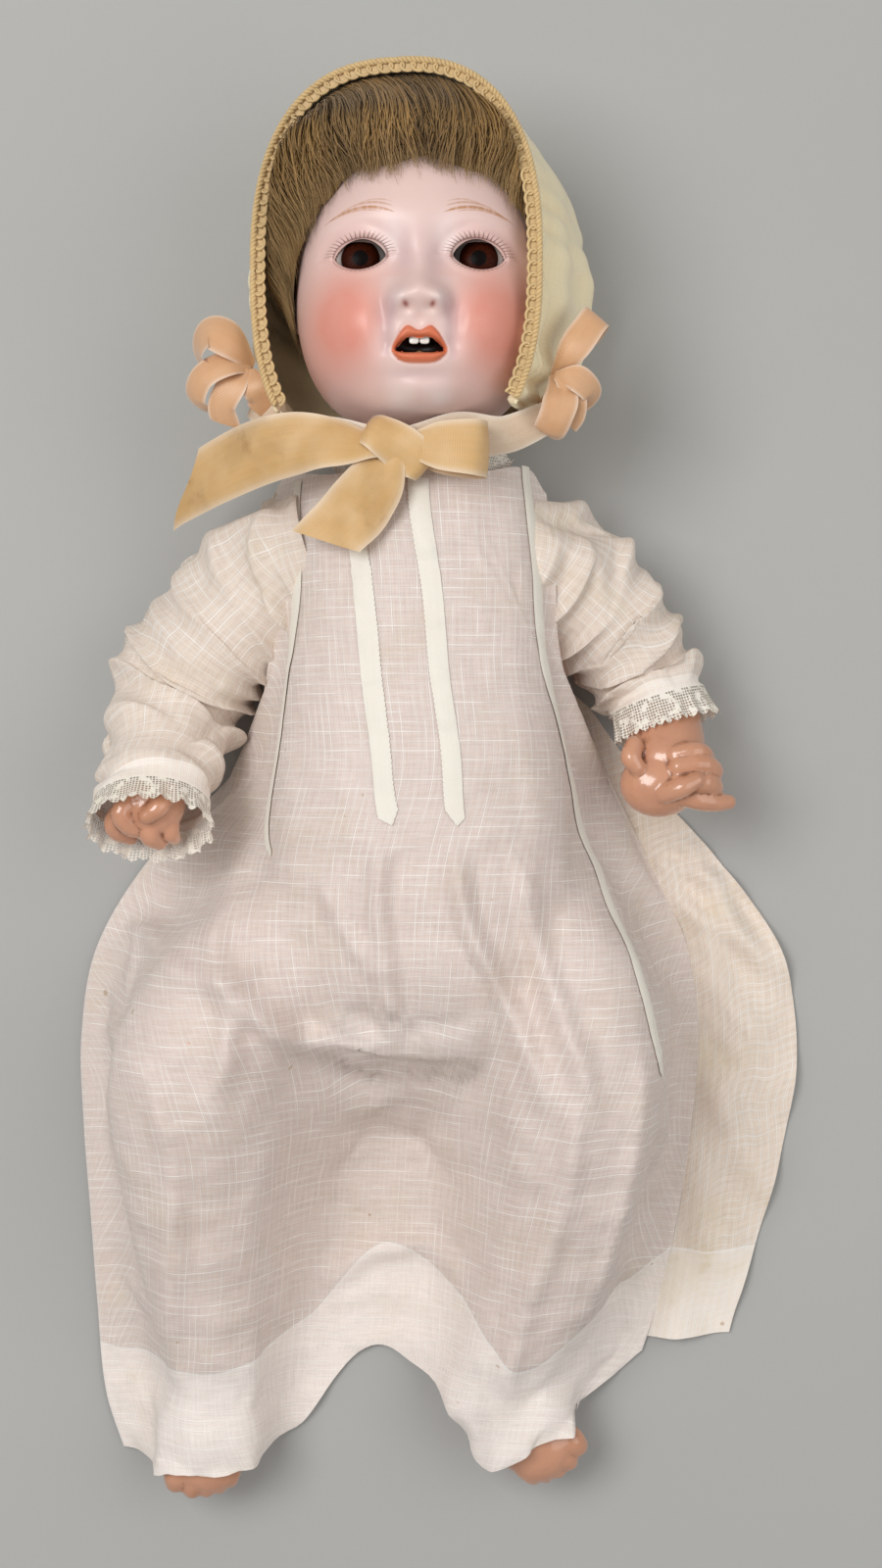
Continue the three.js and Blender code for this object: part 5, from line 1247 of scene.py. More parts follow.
def bonnet_point(t, a):
    """A point of the smooth bonnet, from its back at t = 0 to its front edge at 1."""
    full = smooth(SIDE_FULL, 1, t)
    back = np.where(t < SIDE_FULL, roundness(1 - t / SIDE_FULL, 2.3), 1.0)
    across, up = arch(a, mix(1.0, ARCH, full))
    x = RIM_SHIFT * full + mix(BACK_WIDE, RIM_WIDE, full) * back * across
    y = HEAD[1] + RIM_TALL * back * up
    z = BACK_Z + BONNET_DEEP * t + x * RIM_SLOPE * full
    return joined(x, y, z)


def rim_point(a, inset, lift):
    """A point beside the bonnet's front edge, inside it and above it."""
    across, up = arch(a, ARCH)
    x = RIM_SHIFT + (RIM_WIDE - inset) * across
    return joined(x, HEAD[1] + (RIM_TALL - inset) * up, BACK_Z + BONNET_DEEP + lift + x * RIM_SLOPE)


def build_bonnet():
    """Silk bonnet with gathers at the back and at its corners, a rolled front edge and looped braid."""
    low = -np.arcsin(((HEAD[1] - BONNET_HEM) / RIM_TALL) ** (1 / ARCH))
    t = np.concatenate([np.linspace(0.012, 0.45, 44), np.linspace(0.46, 1.0, 60)])[:, None]
    a = np.linspace(low, np.pi - low, 260)[None]
    tall = bonnet_point(t, np.full_like(a, np.pi / 2))[..., 1] - HEAD[1]
    share = np.clip(
        (HEAD[1] - BONNET_HEM) / np.maximum(tall, 56), 0, 1
    ) ** (1 / mix(1.0, ARCH, smooth(SIDE_FULL, 1, t)))
    reach = np.where(tall > 56, -np.arcsin(share), -np.pi / 2 + 0.02)
    angle = mix(reach, np.pi - reach, np.linspace(0, 1, 260)[None])
    points = bonnet_point(t, angle)
    out = grid_normals(points)
    share = np.linspace(0, 1, 260)[None]
    corner = 1.7 * np.exp(-((share / 0.22) ** 2)) + np.exp(-(((share - 1.0) / 0.16) ** 2))
    pleats = (
        np.sin(share * 150 + 2.5 * np.sin(share * 31))
        * (0.35 * smooth(0.75, 0.3, t) + 1.3 * corner * smooth(0.45, 0.9, t))
    )
    slack = (
        rumple(joined(share * 330 + 0 * t, t * 120 + 0 * share), 34, 5) * 1.5 * smooth(1.0, 0.8, t)
        * smooth(0.0, 0.2, t)
    )
    from_corner, up_side = np.hypot(share * 330, (t - 0.8) * 97), np.arctan2(share * 330 + 4, (t - 0.8) * 97)
    pleats = (
        pleats + 2.0 * np.sin(17 * up_side + 2 * np.sin(5 * up_side)) * smooth(6, 24, from_corner)
        * smooth(105, 30, from_corner)
    )
    roll = -1.6 * smooth(0.96, 1.0, t)
    points = points + out * (pleats * smooth(1.0, 0.93, t) + slack + roll)[..., None]
    points[..., 2] = np.maximum(points[..., 2], 0.6)
    weave = joined(t * 130 + 0 * share, share * 400 + 0 * t)
    shell = sheet_piece("silk_bonnet", "bonnet_silk", "bonnet_cloth", points, weave, flip=True)
    cloth = shell.modifiers.new("Cloth", "SOLIDIFY")
    cloth.thickness, cloth.offset = 1.2 * MM, 0.0
    baked(shell)
    ride(shell, "head", "bonnet_shell")
    declare([points], ["bonnet_shell"])
    # braid: a knobbly edging, a cord beside it and a row of loops on the silk inside it
    braid = Skin()
    span_a = np.linspace(low + 0.03, np.pi - low - 0.03, 1600)
    base = rim_point(span_a, 0.6, 2.0)
    ahead = unit(np.gradient(base, axis=0))
    inward = unit(joined(-np.cos(span_a) / RIM_WIDE, -np.sin(span_a) / RIM_TALL, 0 * span_a))
    up = np.cross(inward, ahead)
    up *= np.sign(up[:, 2:])
    long = lengths(base)
    thick = sizes().braid_radius / MM
    turn = long * 2 * np.pi / 4.6
    loops = (
        base + inward * (1.4 + 1.6 * np.cos(turn))[:, None] + ahead * (1.5 * np.sin(turn))[:, None]
        + up * (0.4 + 0.45 * np.sin(turn))[:, None]
    )
    braid.tube(loops, thick, 6)
    tape = np.linspace(-2.2, 3.0, 5)[None, :, None]
    braid.sheet((base - 0.5 * up)[::4, None] + inward[::4, None] * tape, flip=True)
    for start in (0.0, np.pi):
        twist = long * 2 * np.pi / 3.4 + start
        cord = inward * (-1.6 + 0.75 * np.cos(twist))[:, None] + up * (0.3 + 0.75 * np.sin(twist))[:, None]
        braid.tube(base[::2] + cord[::2], thick * 1.25, 6)
    ride(braid.make("looped_braid", finish("braid"), "bonnet_cloth"), "head", "bonnet_braid")


def folded_loop(centre, degrees, long, high, wide, pinch):
    """A ribbon that runs out flat, folds over and comes back on top of itself."""
    way = np.array((np.cos(np.radians(degrees)), np.sin(np.radians(degrees)), 0.0))
    up = np.array((0, 0, 1.0))
    line = [(0.0, -0.1), (0.4, -0.42), (0.82, -0.46), (1.0, 0.0), (0.84, 0.5), (0.4, 0.46), (0.02, 0.12)]
    route = [np.asarray(centre) + way * r * long + up * h * high for r, h in line]
    facing = [-up, -up, -up, way, up, up, up]
    widths = [wide * pinch, wide * 0.85, wide, wide, wide, wide * 0.85, wide * pinch]
    return ribbon(route, facing, widths, 44, 8, crown=0.5, wave=0.5, seed=int(degrees) % 97)


def selvedged(obj, columns):
    """Marks the woven edges of ribbons whose grids all have the same number of columns."""
    v = np.abs(np.arange(len(obj.data.vertices)) % (columns + 1) / columns - 0.5)
    mark(obj, "selvedge", smooth(0.36, 0.5, v))


def ribbons(name, grids, colour, slot, body, replaced, rests_on, tip=None):
    """Pieces of ribbon as one mesh. One without a tip rides on the body; one with a tip stays where it was
    made.
    """
    skin = Skin()
    for points, cloth in grids:
        skin.sheet(points, cloth)
    obj = skin.make(name, finish(colour), slot)
    selvedged(obj, grids[0][0].shape[1] - 1)
    if tip is None:
        ride(obj, body, *replaced)
    else:
        tuple(tip * MM)
        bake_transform(obj)
        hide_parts(*replaced)
    declare([g[0] for g in grids], rests_on)
    return obj


def build_rosettes():
    """A rosette of satin loops and short ends at each corner of the bonnet."""
    plans = {
        "left": [
            ([(54, 163, 88), (61, 173, 95), (68, 183, 94), (71, 187, 89), (66, 180, 85), (57, 167, 84)], 9.5),
            ([(54, 163, 90), (56, 154, 97), (54, 146, 95),
              (51, 141, 89), (51, 149, 84), (54, 158, 84)], 10.5),
            ([(54, 162, 92), (62, 161, 97), (68, 156, 92), (64, 153, 86), (57, 158, 85)], 8.5),
            ([(55, 162, 93), (60, 155, 95), (61, 148, 91), (58, 143, 88)], 8.0),
        ],
        "right": [
            ([(-68, 170, 74), (-76, 178, 83), (-85, 182, 84),
              (-90, 175, 79), (-84, 168, 74), (-74, 167, 72)], 13.0),
            ([(-69, 168, 77), (-77, 169, 85), (-87, 164, 83),
              (-91, 156, 77), (-85, 153, 72), (-76, 161, 71)], 9.5),
            ([(-70, 167, 79), (-75, 161, 84), (-80, 152, 80), (-78, 143, 75)], 9.0),
            ([(-68, 167, 79), (-66, 160, 84), (-64, 154, 80), (-66, 148, 75)], 8.5),
        ],
    }
    for name, loops in plans.items():
        grids = []
        for k, (route, wide) in enumerate(loops):
            middle = np.mean(route, 0)
            facing = [np.array(p) - middle + (0, 0, 5 + 3 * k) for p in route]
            wide *= 1.3
            looped = len(route) > 4
            widths = [wide * 0.4, *[wide] * (len(route) - 2), wide * (0.5 if looped else 1)]
            cut = 0.0 if looped else 0.2
            grids.append(ribbon(route, facing, widths, 40, 8, cut, crown=0.7, wave=0.8, seed=k + 2))
        ribbons(
            name + "_ribbon_rosette", grids, "peach_ribbon", "peach_ribbon", "head", (name + "_rosette",),
            ("silk_bonnet",)
        )


def build_ties():
    """Satin ties from the bonnet's corners to the knot."""
    plans = {
        "left": (
            [ROSETTES["left"] + (-5, -12, 1), KNOT + (45, 6, -15), KNOT + (25, 4.5, -8.5), KNOT + (5, 2, -3)],
            [(-0.2, -0.5, 0.8), (0, -0.6, 0.8), (0, -0.5, 0.9), (0, -0.3, 1)], [13, 17, 20, 11]
        ),
        "right": (
            [ROSETTES["right"] + (5.6, -8.6, 2), KNOT + (-43, 8, -19),
             KNOT + (-23, 5.5, -11), KNOT + (-4, 2, -4)],
            [(0.2, -0.5, 0.8), (0, -0.6, 0.8), (0, -0.5, 0.9), (0, -0.3, 1)], [12, 15, 15, 10]
        ),
    }
    for name, (route, facing, widths) in plans.items():
        grid = ribbon(route, facing, widths, 40, 8, crown=1.2, wave=0.5, seed=3)
        tie = sheet_piece(name + "_satin_tie", "tie_ribbon", "silk", *grid)
        selvedged(tie, 8)
        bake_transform(tie)
        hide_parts(name + "_tie")
        declare([grid[0]])


def build_bow():
    """Bow under the chin: a tight knot, one loop and two long tails of stained ribbon."""
    up = (0, 0, 1.0)
    fold = ribbon(
        [KNOT + p for p in (
            (-10, 6, -5), (-7, 5, 1.5), (-1, 1.5, 3.6), (6, -3.5, 3), (11, -8, 0.5), (12, -10, -4)
        )],
        [(-0.6, 0.5, 0.5), (-0.2, 0.4, 1), up, (0.1, -0.2, 1), (0.4, -0.5, 1), (0.6, -0.6, 0.3)],
        [12, 15, 17, 18, 15, 10], 40, 10, crown=0.9, wave=1.6, seed=12)
    loop = folded_loop(KNOT + (5, -0.5, 0), -3, 33, 13, 22, 0.4)
    right = ribbon(
        [KNOT + p for p in (
            (-5, -1, 1), (-20, 0, 2), (-40, 1, -6), (-60, -3, -19), (-80, -11, -36), (-96, -19, -54)
        )],
        [(0, 0.2, 1), (0, 0.3, 1), (-0.1, -0.1, 1), (-0.45, -0.3, 1), (-0.4, 0, 1), (-0.3, 0, 1)],
        [10, 20, 25, 26, 24, 20], 60, 10, cut=0.26, crown=1.4, wave=1.5, seed=8)
    left = ribbon(
        [KNOT + p for p in ((0, -3, 0), (-5, -13, 1.5), (-12, -23, 0.5), (-21, -33, -1.5), (-31, -43, -4))],
        [(0.2, 0.2, 1), (0.2, 0.1, 1), (-0.1, -0.1, 1), (-0.3, 0, 1), (-0.2, 0, 1)],
        [12, 22, 26, 27, 27], 56, 10, cut=-0.24, crown=1.2, wave=1.2, seed=4)
    pieces = (
        ("knot", fold, "folded", None),
        ("loop", loop, "folded", None),
        ("right_tail", right, "hung", KNOT + (-96, -19, -54)),
        ("left_tail", left, "hung", KNOT + (-31, -43, -4)),
    )
    for key, grid, held, tip in pieces:
        ribbons("ribbon_" + key, [grid], "bow_ribbon", "silk", "neck", ("bow_" + key,), (), tip)


# Limbs


def limb_form(skin, centre, path, radii, steps=46, sides=28):
    t = np.linspace(0, 1, steps)
    skin.tube(centre + curve(path, t), curve(radii, t), sides)


def digit(skin, points, radii):
    t = np.linspace(0, 1, 12)
    line, thick = curve(points, t), curve(radii, t)
    skin.tube(line, thick, 12)
    for end in (0, -1):
        skin.egg(line[end], (thick[end],) * 3, 8, 12)


# from the wrist: rounded forms with their rows and columns of points, then lines and their thicknesses
PALMS = {
    "left": [((-1, 2, 1), (15.4, 13, 13), 14, 20), ((-5, -8, 4), (16.5, 14, 12.5), 16, 22)],
    "right": [((1, -8, 3), (14.5, 13.5, 11.5), 16, 22)],
}
FINGERS = {
    "left": [
        ([(-16, 8, 10), (-17.5, 3, 13), (-15, -1, 13)], [4, 4.4, 3.6]),
        ([(1, 4, 12), (9, 5.5, 12.5), (13.5, 3, 8), (10, 0, 4)], [4.2, 4.4, 4.2, 3.6]),
        ([(2, -1, 14), (12, 0, 13.5), (17, -3, 8), (13, -5, 4)], [4.4, 4.6, 4.4, 3.8]),
        ([(2, -7, 14), (12, -7, 13.5), (17, -9.5, 8), (13, -11, 4)], [4.4, 4.6, 4.4, 3.8]),
        ([(2, -12, 10), (11, -14.5, 10.5), (18, -15.5, 8), (23.5, -15.5, 5)], [4.6, 4.6, 4.2, 3.4]),
        ([(-4, -12, 14), (3, -9.5, 18), (9, -6.5, 17)], [4.2, 4.2, 3.4]),
    ],
    "right": [
        ([(-4, -6, 8), (-10, -11, 11), (-7, -17, 8), (-1, -19, 3)], [4.4, 4.4, 4.2, 3.6]),
        ([(-7, -8, 3), (-13, -14, 5), (-13, -19, 2), (-8, -22, -3)], [4.4, 4.4, 4.2, 3.4]),
        ([(2, -14, 7), (1, -21, 6), (4, -24, 0)], [4.4, 4.2, 3.4]),
        ([(9, -12, 4), (9, -19, 3), (10, -22, -2)], [4.2, 4.0, 3.2]),
        ([(9, -2, 9), (6, -9, 15), (1, -13, 15)], [4.4, 4.2, 3.4]),
    ],
}


def build_arms():
    """Bent arms with moulded hands: a fist with one finger out on the left, a half-open hand on the right."""
    for name in ("left", "right"):
        skin = Skin()
        limb_form(skin, SHOULDER[name], ARM_PATHS[name], ARM_RADII)
        skin.egg(SHOULDER[name], (19.6,) * 3, 18, 26)
        wrist = SHOULDER[name] + ARM_PATHS[name][-1]
        for offset, radii, rows, columns in PALMS[name]:
            skin.egg(wrist + offset, radii, rows, columns)
        for points, radii in FINGERS[name]:
            digit(skin, [wrist + p for p in points], radii)
        arm = cast(
            skin, name + "_arm_moulded", finish("composition"), voxel=0.85, rounds=3, slot="composition"
        )
        ride(arm, name + "_arm", name + "_arm")


def foot_forms(skin, ankle, aim, side):
    aim = aim / np.linalg.norm(aim)
    across = unit(np.cross(aim, (0, 0, 1.0)))
    up = np.cross(across, aim)
    at = lambda f, a, u: ankle + aim * f + across * a * side + up * u
    for f, wide, deep in ((-2, 16, 15), (8, 16, 15.5), (18, 16.5, 14.5), (27, 17, 12.5), (33, 16.5, 10.5)):
        skin.egg(at(f, 0, -1), (wide, 13, deep), 12, 18, turn=np.stack([across, aim, up], 1))
    for a, f, size in (
        (-11.0, 41, 6.0), (-3.6, 43.5, 4.7), (2.4, 42.5, 4.3), (7.6, 40.5, 4.0), (12.0, 37.5, 3.7)
    ):
        toe = [at(f - 11, a * 0.9, -1), at(f - 2, a, 0.5), at(f + 1.5, a, -1.2)]
        digit(skin, toe, [size * 0.95, size, size * 0.86])


def build_legs():
    for name, side in (("left", 1), ("right", -1)):
        skin = Skin()
        limb_form(skin, HIP[name], LEG_PATHS[name], LEG_RADII, 60, 32)
        skin.egg(HIP[name], (25.6,) * 3, 18, 26)
        skin.egg(HIP[name] + curve(LEG_PATHS[name], 0.36) + (0, 4, 3), (29, 24, 30), 16, 24)
        foot_forms(skin, HIP[name] + LEG_PATHS[name][-1], FOOT_AIM[name], side)
        leg = cast(
            skin, name + "_leg_moulded", finish("composition"), voxel=1.15, rounds=3, slot="composition"
        )
        ride(leg, name + "_leg", name + "_leg")


# Gown


def torso_size(y):
    s = (y - 16) / 114
    belly = smooth(0.35, -0.35, s)
    return mix(53.0, 60.0, belly) * roundness(s, 4), 48.5 * mix(0.95, 1.0, belly) * roundness(s, 3)


def supports():
    """Balls that stand for the body and legs under the gown: centre and radius."""
    found = []
    for y in np.linspace(118, -84, 10):
        wide, deep = torso_size(y)
        radius = min(wide, deep)
        for x in (-1, -0.4, 0.4, 1):
            found.append((x * (wide - radius), y, 50.1 + deep - radius, radius + 1.8))
    for name in ("left", "right"):
        for t in np.linspace(0, 1, 17):
            found.append((*(HIP[name] + curve(LEG_PATHS[name], t)), float(curve(LEG_RADII, t))))
        aim = FOOT_AIM[name] / np.linalg.norm(FOOT_AIM[name])
        ankle, across = HIP[name] + LEG_PATHS[name][-1], np.array((-aim[1], aim[0], 0))
        for reach, aside in ((10, 0), (24, -5), (24, 5), (40, -8), (40, 8)):
            found.append((*(ankle + aim * reach + across * aside), 17 - reach * 0.12))
    for name in ("left", "right"):
        found.append((*SHOULDER[name], 21.0))
    return np.array(found)


def hang(x, y, clear=4.0, steep=62.0, round_off=2.5):
    """Height at which cloth lies over the supports, falling away steeply beside them."""
    s, c = np.sin(np.radians(steep)), np.cos(np.radians(steep))
    total = np.zeros_like(x)
    for ax, ay, az, radius in supports():
        r = radius + clear
        far = np.hypot(x - ax, y - ay)
        high = np.where(
            far < r * s, az + np.sqrt(np.maximum(r * r - far * far, 0)), az + r * c - (far - r * s) * s / c
        )
        total += np.exp(np.maximum(-40, high) / round_off)
    return round_off * np.log(total) - round_off * np.log(3)


def edge_at(values, y):
    return curve(values, (NECK_EDGE - y) / (NECK_EDGE - SKIRT_END))


GOWN_ROWS, GOWN_COLUMNS = 150, 128


def gown_grid():
    """The gown front as first laid over the doll: rows from neck to hem, columns from right to left."""
    s = np.linspace(-1, 1, GOWN_COLUMNS + 1)[None]
    t = np.linspace(0, 1, GOWN_ROWS + 1)[:, None]
    neckline = 126 + 4 * smooth(0.4, 0.7, np.abs(s)) - 9 * smooth(0.8, 1, np.abs(s))
    y = mix(neckline, curve(FRONT_HEM, (s + 1) / 2), t)
    crowd = np.sin(np.pi / 2 * s) * 0.55 + s * 0.45
    x = mix(edge_at(RIGHT_EDGE, y), edge_at(LEFT_EDGE, y), (crowd + 1) / 2)
    skirt = smooth(-20, -120, y)
    fold = (
        skirt * (2.6 * np.sin(0.085 * x - 0.03 * y) + 1.6 * np.sin(0.19 * x + 0.045 * y))
        + 0.5 * np.sin(0.3 * x + 0.02 * y) * (1 - skirt)
    )
    edge = smooth(1, 0.86, np.abs(s))
    z = hang(x, y) + (fold + 2.4 * skirt) * edge
    z = np.maximum(EDGE_Z, mix(z, EDGE_Z, smooth(0.84, 1, np.abs(s)) * smooth(50, 10, y)))
    return joined(x, y, z), s + 0 * t, t + 0 * s


def flat_cut(points, fullness):
    """The flat pattern of a grid of cloth: lengths along it, with spare width given row by row."""
    across = np.concatenate(
        [np.zeros((len(points), 1)), np.cumsum(np.linalg.norm(np.diff(points, axis=1), axis=-1), 1)], 1
    )
    across -= across[:, [across.shape[1] // 2]]
    down = np.concatenate(
        [np.zeros((1, points.shape[1])), np.cumsum(np.linalg.norm(np.diff(points, axis=0), axis=-1), 0)], 0
    )
    return joined(across * (1 + fullness), -down, 0 * down)


SIM = 0.01  # metres to a millimetre in the cloth simulation


def settle(points, cut, held, solids, frames, bending=0.4, wrap=False):
    """Lets a grid of cut cloth settle over solids, by cloth simulation at ten times the size."""
    scene = bpy.context.scene
    made = []
    for solid_points, solid_faces in solids:
        form = mesh_object("drape_form", solid_points, solid_faces, scale=SIM)
        form.modifiers.new("Collision", "COLLISION")
        form.collision.thickness_outer, form.collision.cloth_friction = 0.012, 8
        made.append(form)
    cloth = mesh_object(
        "drape_cloth", points.reshape(-1, 3), grid_faces(*points.shape[:2], wrap).tolist(), scale=SIM
    )
    made.append(cloth)
    cloth.shape_key_add(name="Basis")
    key = cloth.shape_key_add(name="Cut")
    key.data.foreach_set("co", (cut.reshape(-1, 3) * SIM).ravel())
    pins = cloth.vertex_groups.new(name="held")
    for index in np.flatnonzero(held.ravel() > 0.01):
        pins.add([int(index)], float(held.ravel()[index]), "REPLACE")
    drape = cloth.modifiers.new("Drape", "CLOTH")
    rules = drape.settings
    rules.quality, rules.mass = 6, 0.08
    rules.tension_stiffness = rules.compression_stiffness = 18
    rules.shear_stiffness, rules.bending_stiffness = 6, bending
    rules.air_damping = 2
    rules.vertex_group_mass = "held"
    rules.rest_shape_key = cloth.data.shape_keys.key_blocks["Cut"]
    drape.collision_settings.distance_min = 0.012
    drape.collision_settings.collision_quality = 3
    drape.point_cache.frame_start, drape.point_cache.frame_end = 1, frames
    for step in range(1, frames + 1):
        scene.frame_set(step)
    done = cloth.evaluated_get(bpy.context.evaluated_depsgraph_get()).data
    flat = np.empty(len(done.vertices) * 3)
    done.vertices.foreach_get("co", flat)
    scene.frame_set(1)
    for obj in made:
        mesh = obj.data
        bpy.data.objects.remove(obj)
        bpy.data.meshes.remove(mesh)
    return flat.reshape(points.shape) / SIM


def drape_forms():
    """Body, legs and floor, as the solids that cloth comes to rest on."""
    body = Skin()
    y = np.linspace(129.5, -97.5, 40)
    wide, deep = torso_size(y)
    a = np.linspace(0, 2 * np.pi, 48, endpoint=False)
    ring = joined(
        wide[:, None] * signed_power(np.cos(a), 0.8), y[:, None] + 0 * a,
        50.1 + deep[:, None] * signed_power(np.sin(a), 0.8)
    )
    body.sheet(ring, wrap=True)
    body.faces += [list(range(48)), list(range(body.size - 1, body.size - 49, -1))]
    forms = [(np.vstack(body.points), [face[::-1] for face in body.faces])]
    for name in ("left", "right"):
        leg = Skin()
        limb_form(leg, HIP[name], LEG_PATHS[name], LEG_RADII, 34, 22)
        aim = FOOT_AIM[name] / np.linalg.norm(FOOT_AIM[name])
        leg.egg(HIP[name] + LEG_PATHS[name][-1] + aim * 20, (21, 24, 15), 10, 18)
        forms.append((np.vstack(leg.points), leg.faces))
    for name in ("left", "right"):
        ball = Skin()
        ball.egg(SHOULDER[name], (20.5,) * 3, 14, 20)
        forms.append((np.vstack(ball.points), ball.faces))
    floor = Skin()
    floor.sheet(
        joined(*np.meshgrid(np.linspace(-400, 400, 5), np.linspace(400, -400, 5)), np.full((5, 5), 0.4))
    )
    forms.append((np.vstack(floor.points), floor.faces))
    return forms


def soften(points, rounds, fixed):
    """Evens out a grid of cloth a little, leaving held points where they are."""
    for _ in range(rounds):
        padded = np.pad(points, ((1, 1), (1, 1), (0, 0)), mode="edge")
        even = (padded[:-2, 1:-1] + padded[2:, 1:-1] + padded[1:-1, :-2] + padded[1:-1, 2:]) / 4
        points = np.where(fixed[..., None], points, mix(points, even, 0.5))
    return points


def skirt_weight(s, y):
    """A weight for the skirt over the leg under it, from 0 to 1: none at the middle, the waist and the side
    seam.
    """
    side = np.abs(s)
    return smooth(0.02, 0.3, side) * smooth(0.99, 0.8, side) * smooth(-34, -105, y)


def with_normals(obj, normals):
    obj.data.normals_split_custom_set_from_vertices([tuple(n) for n in normals.reshape(-1, 3)])


GOWN = {}


def folds_of_wear(x, y):
    """Ridges that years in a drawer left in the skirt: each a line of points, how high and how wide."""
    lines = [
        ([(-79, -72), (-58, -100), (-30, -110), (-10, -112)], 6.0, 6.5),
        ([(-14, -18), (-17, -50), (-12, -82), (-8, -110)], 4.5, 5.5),
        ([(-42, -30), (-30, -58), (-16, -84), (-9, -108)], 3.2, 5.0),
        ([(14, -18), (18, -52), (36, -92), (56, -142)], 4.6, 6.0),
        ([(40, -20), (46, -62), (58, -98), (74, -140)], 3.4, 5.5),
        ([(-72, -22), (-84, -60), (-76, -96), (-84, -140)], 4.0, 6.0),
        ([(-128, -52), (-104, -72), (-82, -78), (-62, -74)], 3.6, 6.0),
        ([(-116, -100), (-100, -150), (-104, -205), (-108, -262)], 2.6, 7.0),
        ([(-56, -128), (-66, -176), (-62, -214), (-70, -282)], 3.4, 7.5),
        ([(62, -112), (58, -166), (40, -226), (34, -276)], 3.0, 6.5),
        ([(92, -100), (88, -150), (78, -204), (70, -262)], 3.0, 6.0),
        ([(-46, -220), (-22, -204), (4, -202), (24, -222)], 3.2, 6.0),
    ]
    total = 0
    for points, high, wide in lines:
        path = curve(points, np.linspace(0, 1, 40))
        away = np.full(x.shape, 1e9)
        along = np.zeros(x.shape)
        for k, (px, py) in enumerate(path):
            far = (x - px) ** 2 + (y - py) ** 2
            along = np.where(far < away, k / 39, along)
            away = np.minimum(away, far)
        crest = 1.7 * np.exp(-away / wide**2) - 0.5 * np.exp(-away / (2.2 * wide) ** 2)
        total = total + 1.5 * high * crest * smooth(0, 0.2, along) * smooth(1, 0.75, along)
    return total


def hem_ramp(beyond):
    """A mark that is a half at the hem's sewn edge and rises evenly from it, so that the line stays crisp."""
    return np.clip(0.5 - 0.05 * beyond, 0, 1)


def build_gown():
    """Lawn gown: a front of two halves draped over body and legs, and a back fanned on the floor."""
    points, s, t = gown_grid()
    GOWN.update(laid=points, s=s, t=t)
    y = points[..., 1]
    spare = 0.015 + sizes().fullness * smooth(-10, -110, y)
    cut = flat_cut(points, spare)
    held = np.maximum(smooth(0.97, 0.995, np.abs(s)), smooth(0.1, 0.03, t))
    held = np.maximum(held, 0.9 * smooth(0.2, 0.12, t) * smooth(0.55, 0.75, np.abs(s)))
    points = settle(points, cut, held, drape_forms(), frames=34)
    points = soften(points, 2, held > 0.9)
    free = smooth(1.0, 0.9, np.abs(s)) * (1 - held)
    crumple = 0.5 * rumple(points[..., :2], 13, 6) + 0.9 * rumple(points[..., :2], 29, 7)
    points[..., 2] += free * (folds_of_wear(points[..., 0], points[..., 1]) + crumple)
    floor_of = hang(points[..., 0], points[..., 1], clear=1.4, steep=86.0, round_off=0.6)
    points[..., 2] = np.maximum(points[..., 2], np.minimum(floor_of, points[..., 2] + 6))
    points[..., 2] = np.maximum(points[..., 2], EDGE_Z)
    normals = grid_normals(points)
    GOWN.update(points=points, normals=normals)
    laid_y = GOWN["laid"][..., 1]
    beyond = laid_y - laid_y[-1:] - sizes().hem_depth / MM
    hem = hem_ramp(beyond)
    edge = np.ones(s.shape, bool)
    edge[1:-1, 1:-1] = False
    weave = soften(cut, 400, edge)
    weave[..., 1] = laid_y
    middle = GOWN_COLUMNS // 2
    for name, pick in (("right", slice(0, middle + 1)), ("left", slice(middle, None))):
        half = sheet_piece(
            "gown_front_" + name, "lawn", "lawn", points[:, pick], weave[:, pick, :2] * (1, -1)
        )
        mark(half, "hem", hem[:, pick].ravel())
        with_normals(half, normals[:, pick])
        name + "_leg"
        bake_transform(half)
        skirt_weight(s, y)[:, pick]
        if name == "left":
            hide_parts("gown_front")
        declare([cut[:, pick]], ("torso_front", name + "_leg_moulded"))


def build_gown_back():
    """Back of the gown, with the part of its skirt that lies fanned out at the doll's left."""
    s = np.linspace(-1, 1, 141)[None]
    t = np.linspace(0, 1, 111)[:, None]
    y = mix(NECK_EDGE - 4, curve(BACK_HEM, (s + 1) / 2), t)
    narrow = smooth(30, 75, y)
    right, left = mix(edge_at(RIGHT_EDGE, y) + 1, -40, narrow), mix(edge_at(FAN_EDGE, y), 38, narrow)
    x = mix(right, left, ((s + 1) / 2) ** 0.85)
    inner = edge_at(LEFT_EDGE, y)
    free = smooth(inner - 6, inner + 16, x) * smooth(16, -40, y)
    around, far = np.arctan2(y + 20, x - 40), np.hypot(y + 20, x - 40)
    pleat = np.sin(17 * around + 1.1 * np.sin(5 * around) + 0.004 * far)
    fold = (
        (6.5 * np.abs(pleat) ** 1.5 + 2.0 * np.abs(np.sin(29 * around + 0.02 * far)) * smooth(20, 90, far))
        * mix(1, 0.45, smooth(0.7, 1, s))
    )
    z = 0.9 + free * np.maximum(0.2, fold + 1.2 * rumple(joined(x, y), 45, 9))
    z += free * 5.0 * smooth(-8, -45, y) * smooth(-110, -50, y) * (0.5 + 0.5 * np.sin(0.33 * x + 0.2 * y))
    points = joined(x, y, np.minimum(z, 15.0))
    cut = flat_cut(points, 0.0)
    back = sheet_piece("gown_back_fan", "back_lawn", "lawn", points, cut[..., :2] * (1, -1))
    depth = (cut[-1:, :, 1] - cut[..., 1]) * -1
    mark(back, "hem", hem_ramp(depth - 40).ravel())
    ride(back, "torso", "gown_back")
    declare([points], ("gown_front_left",))


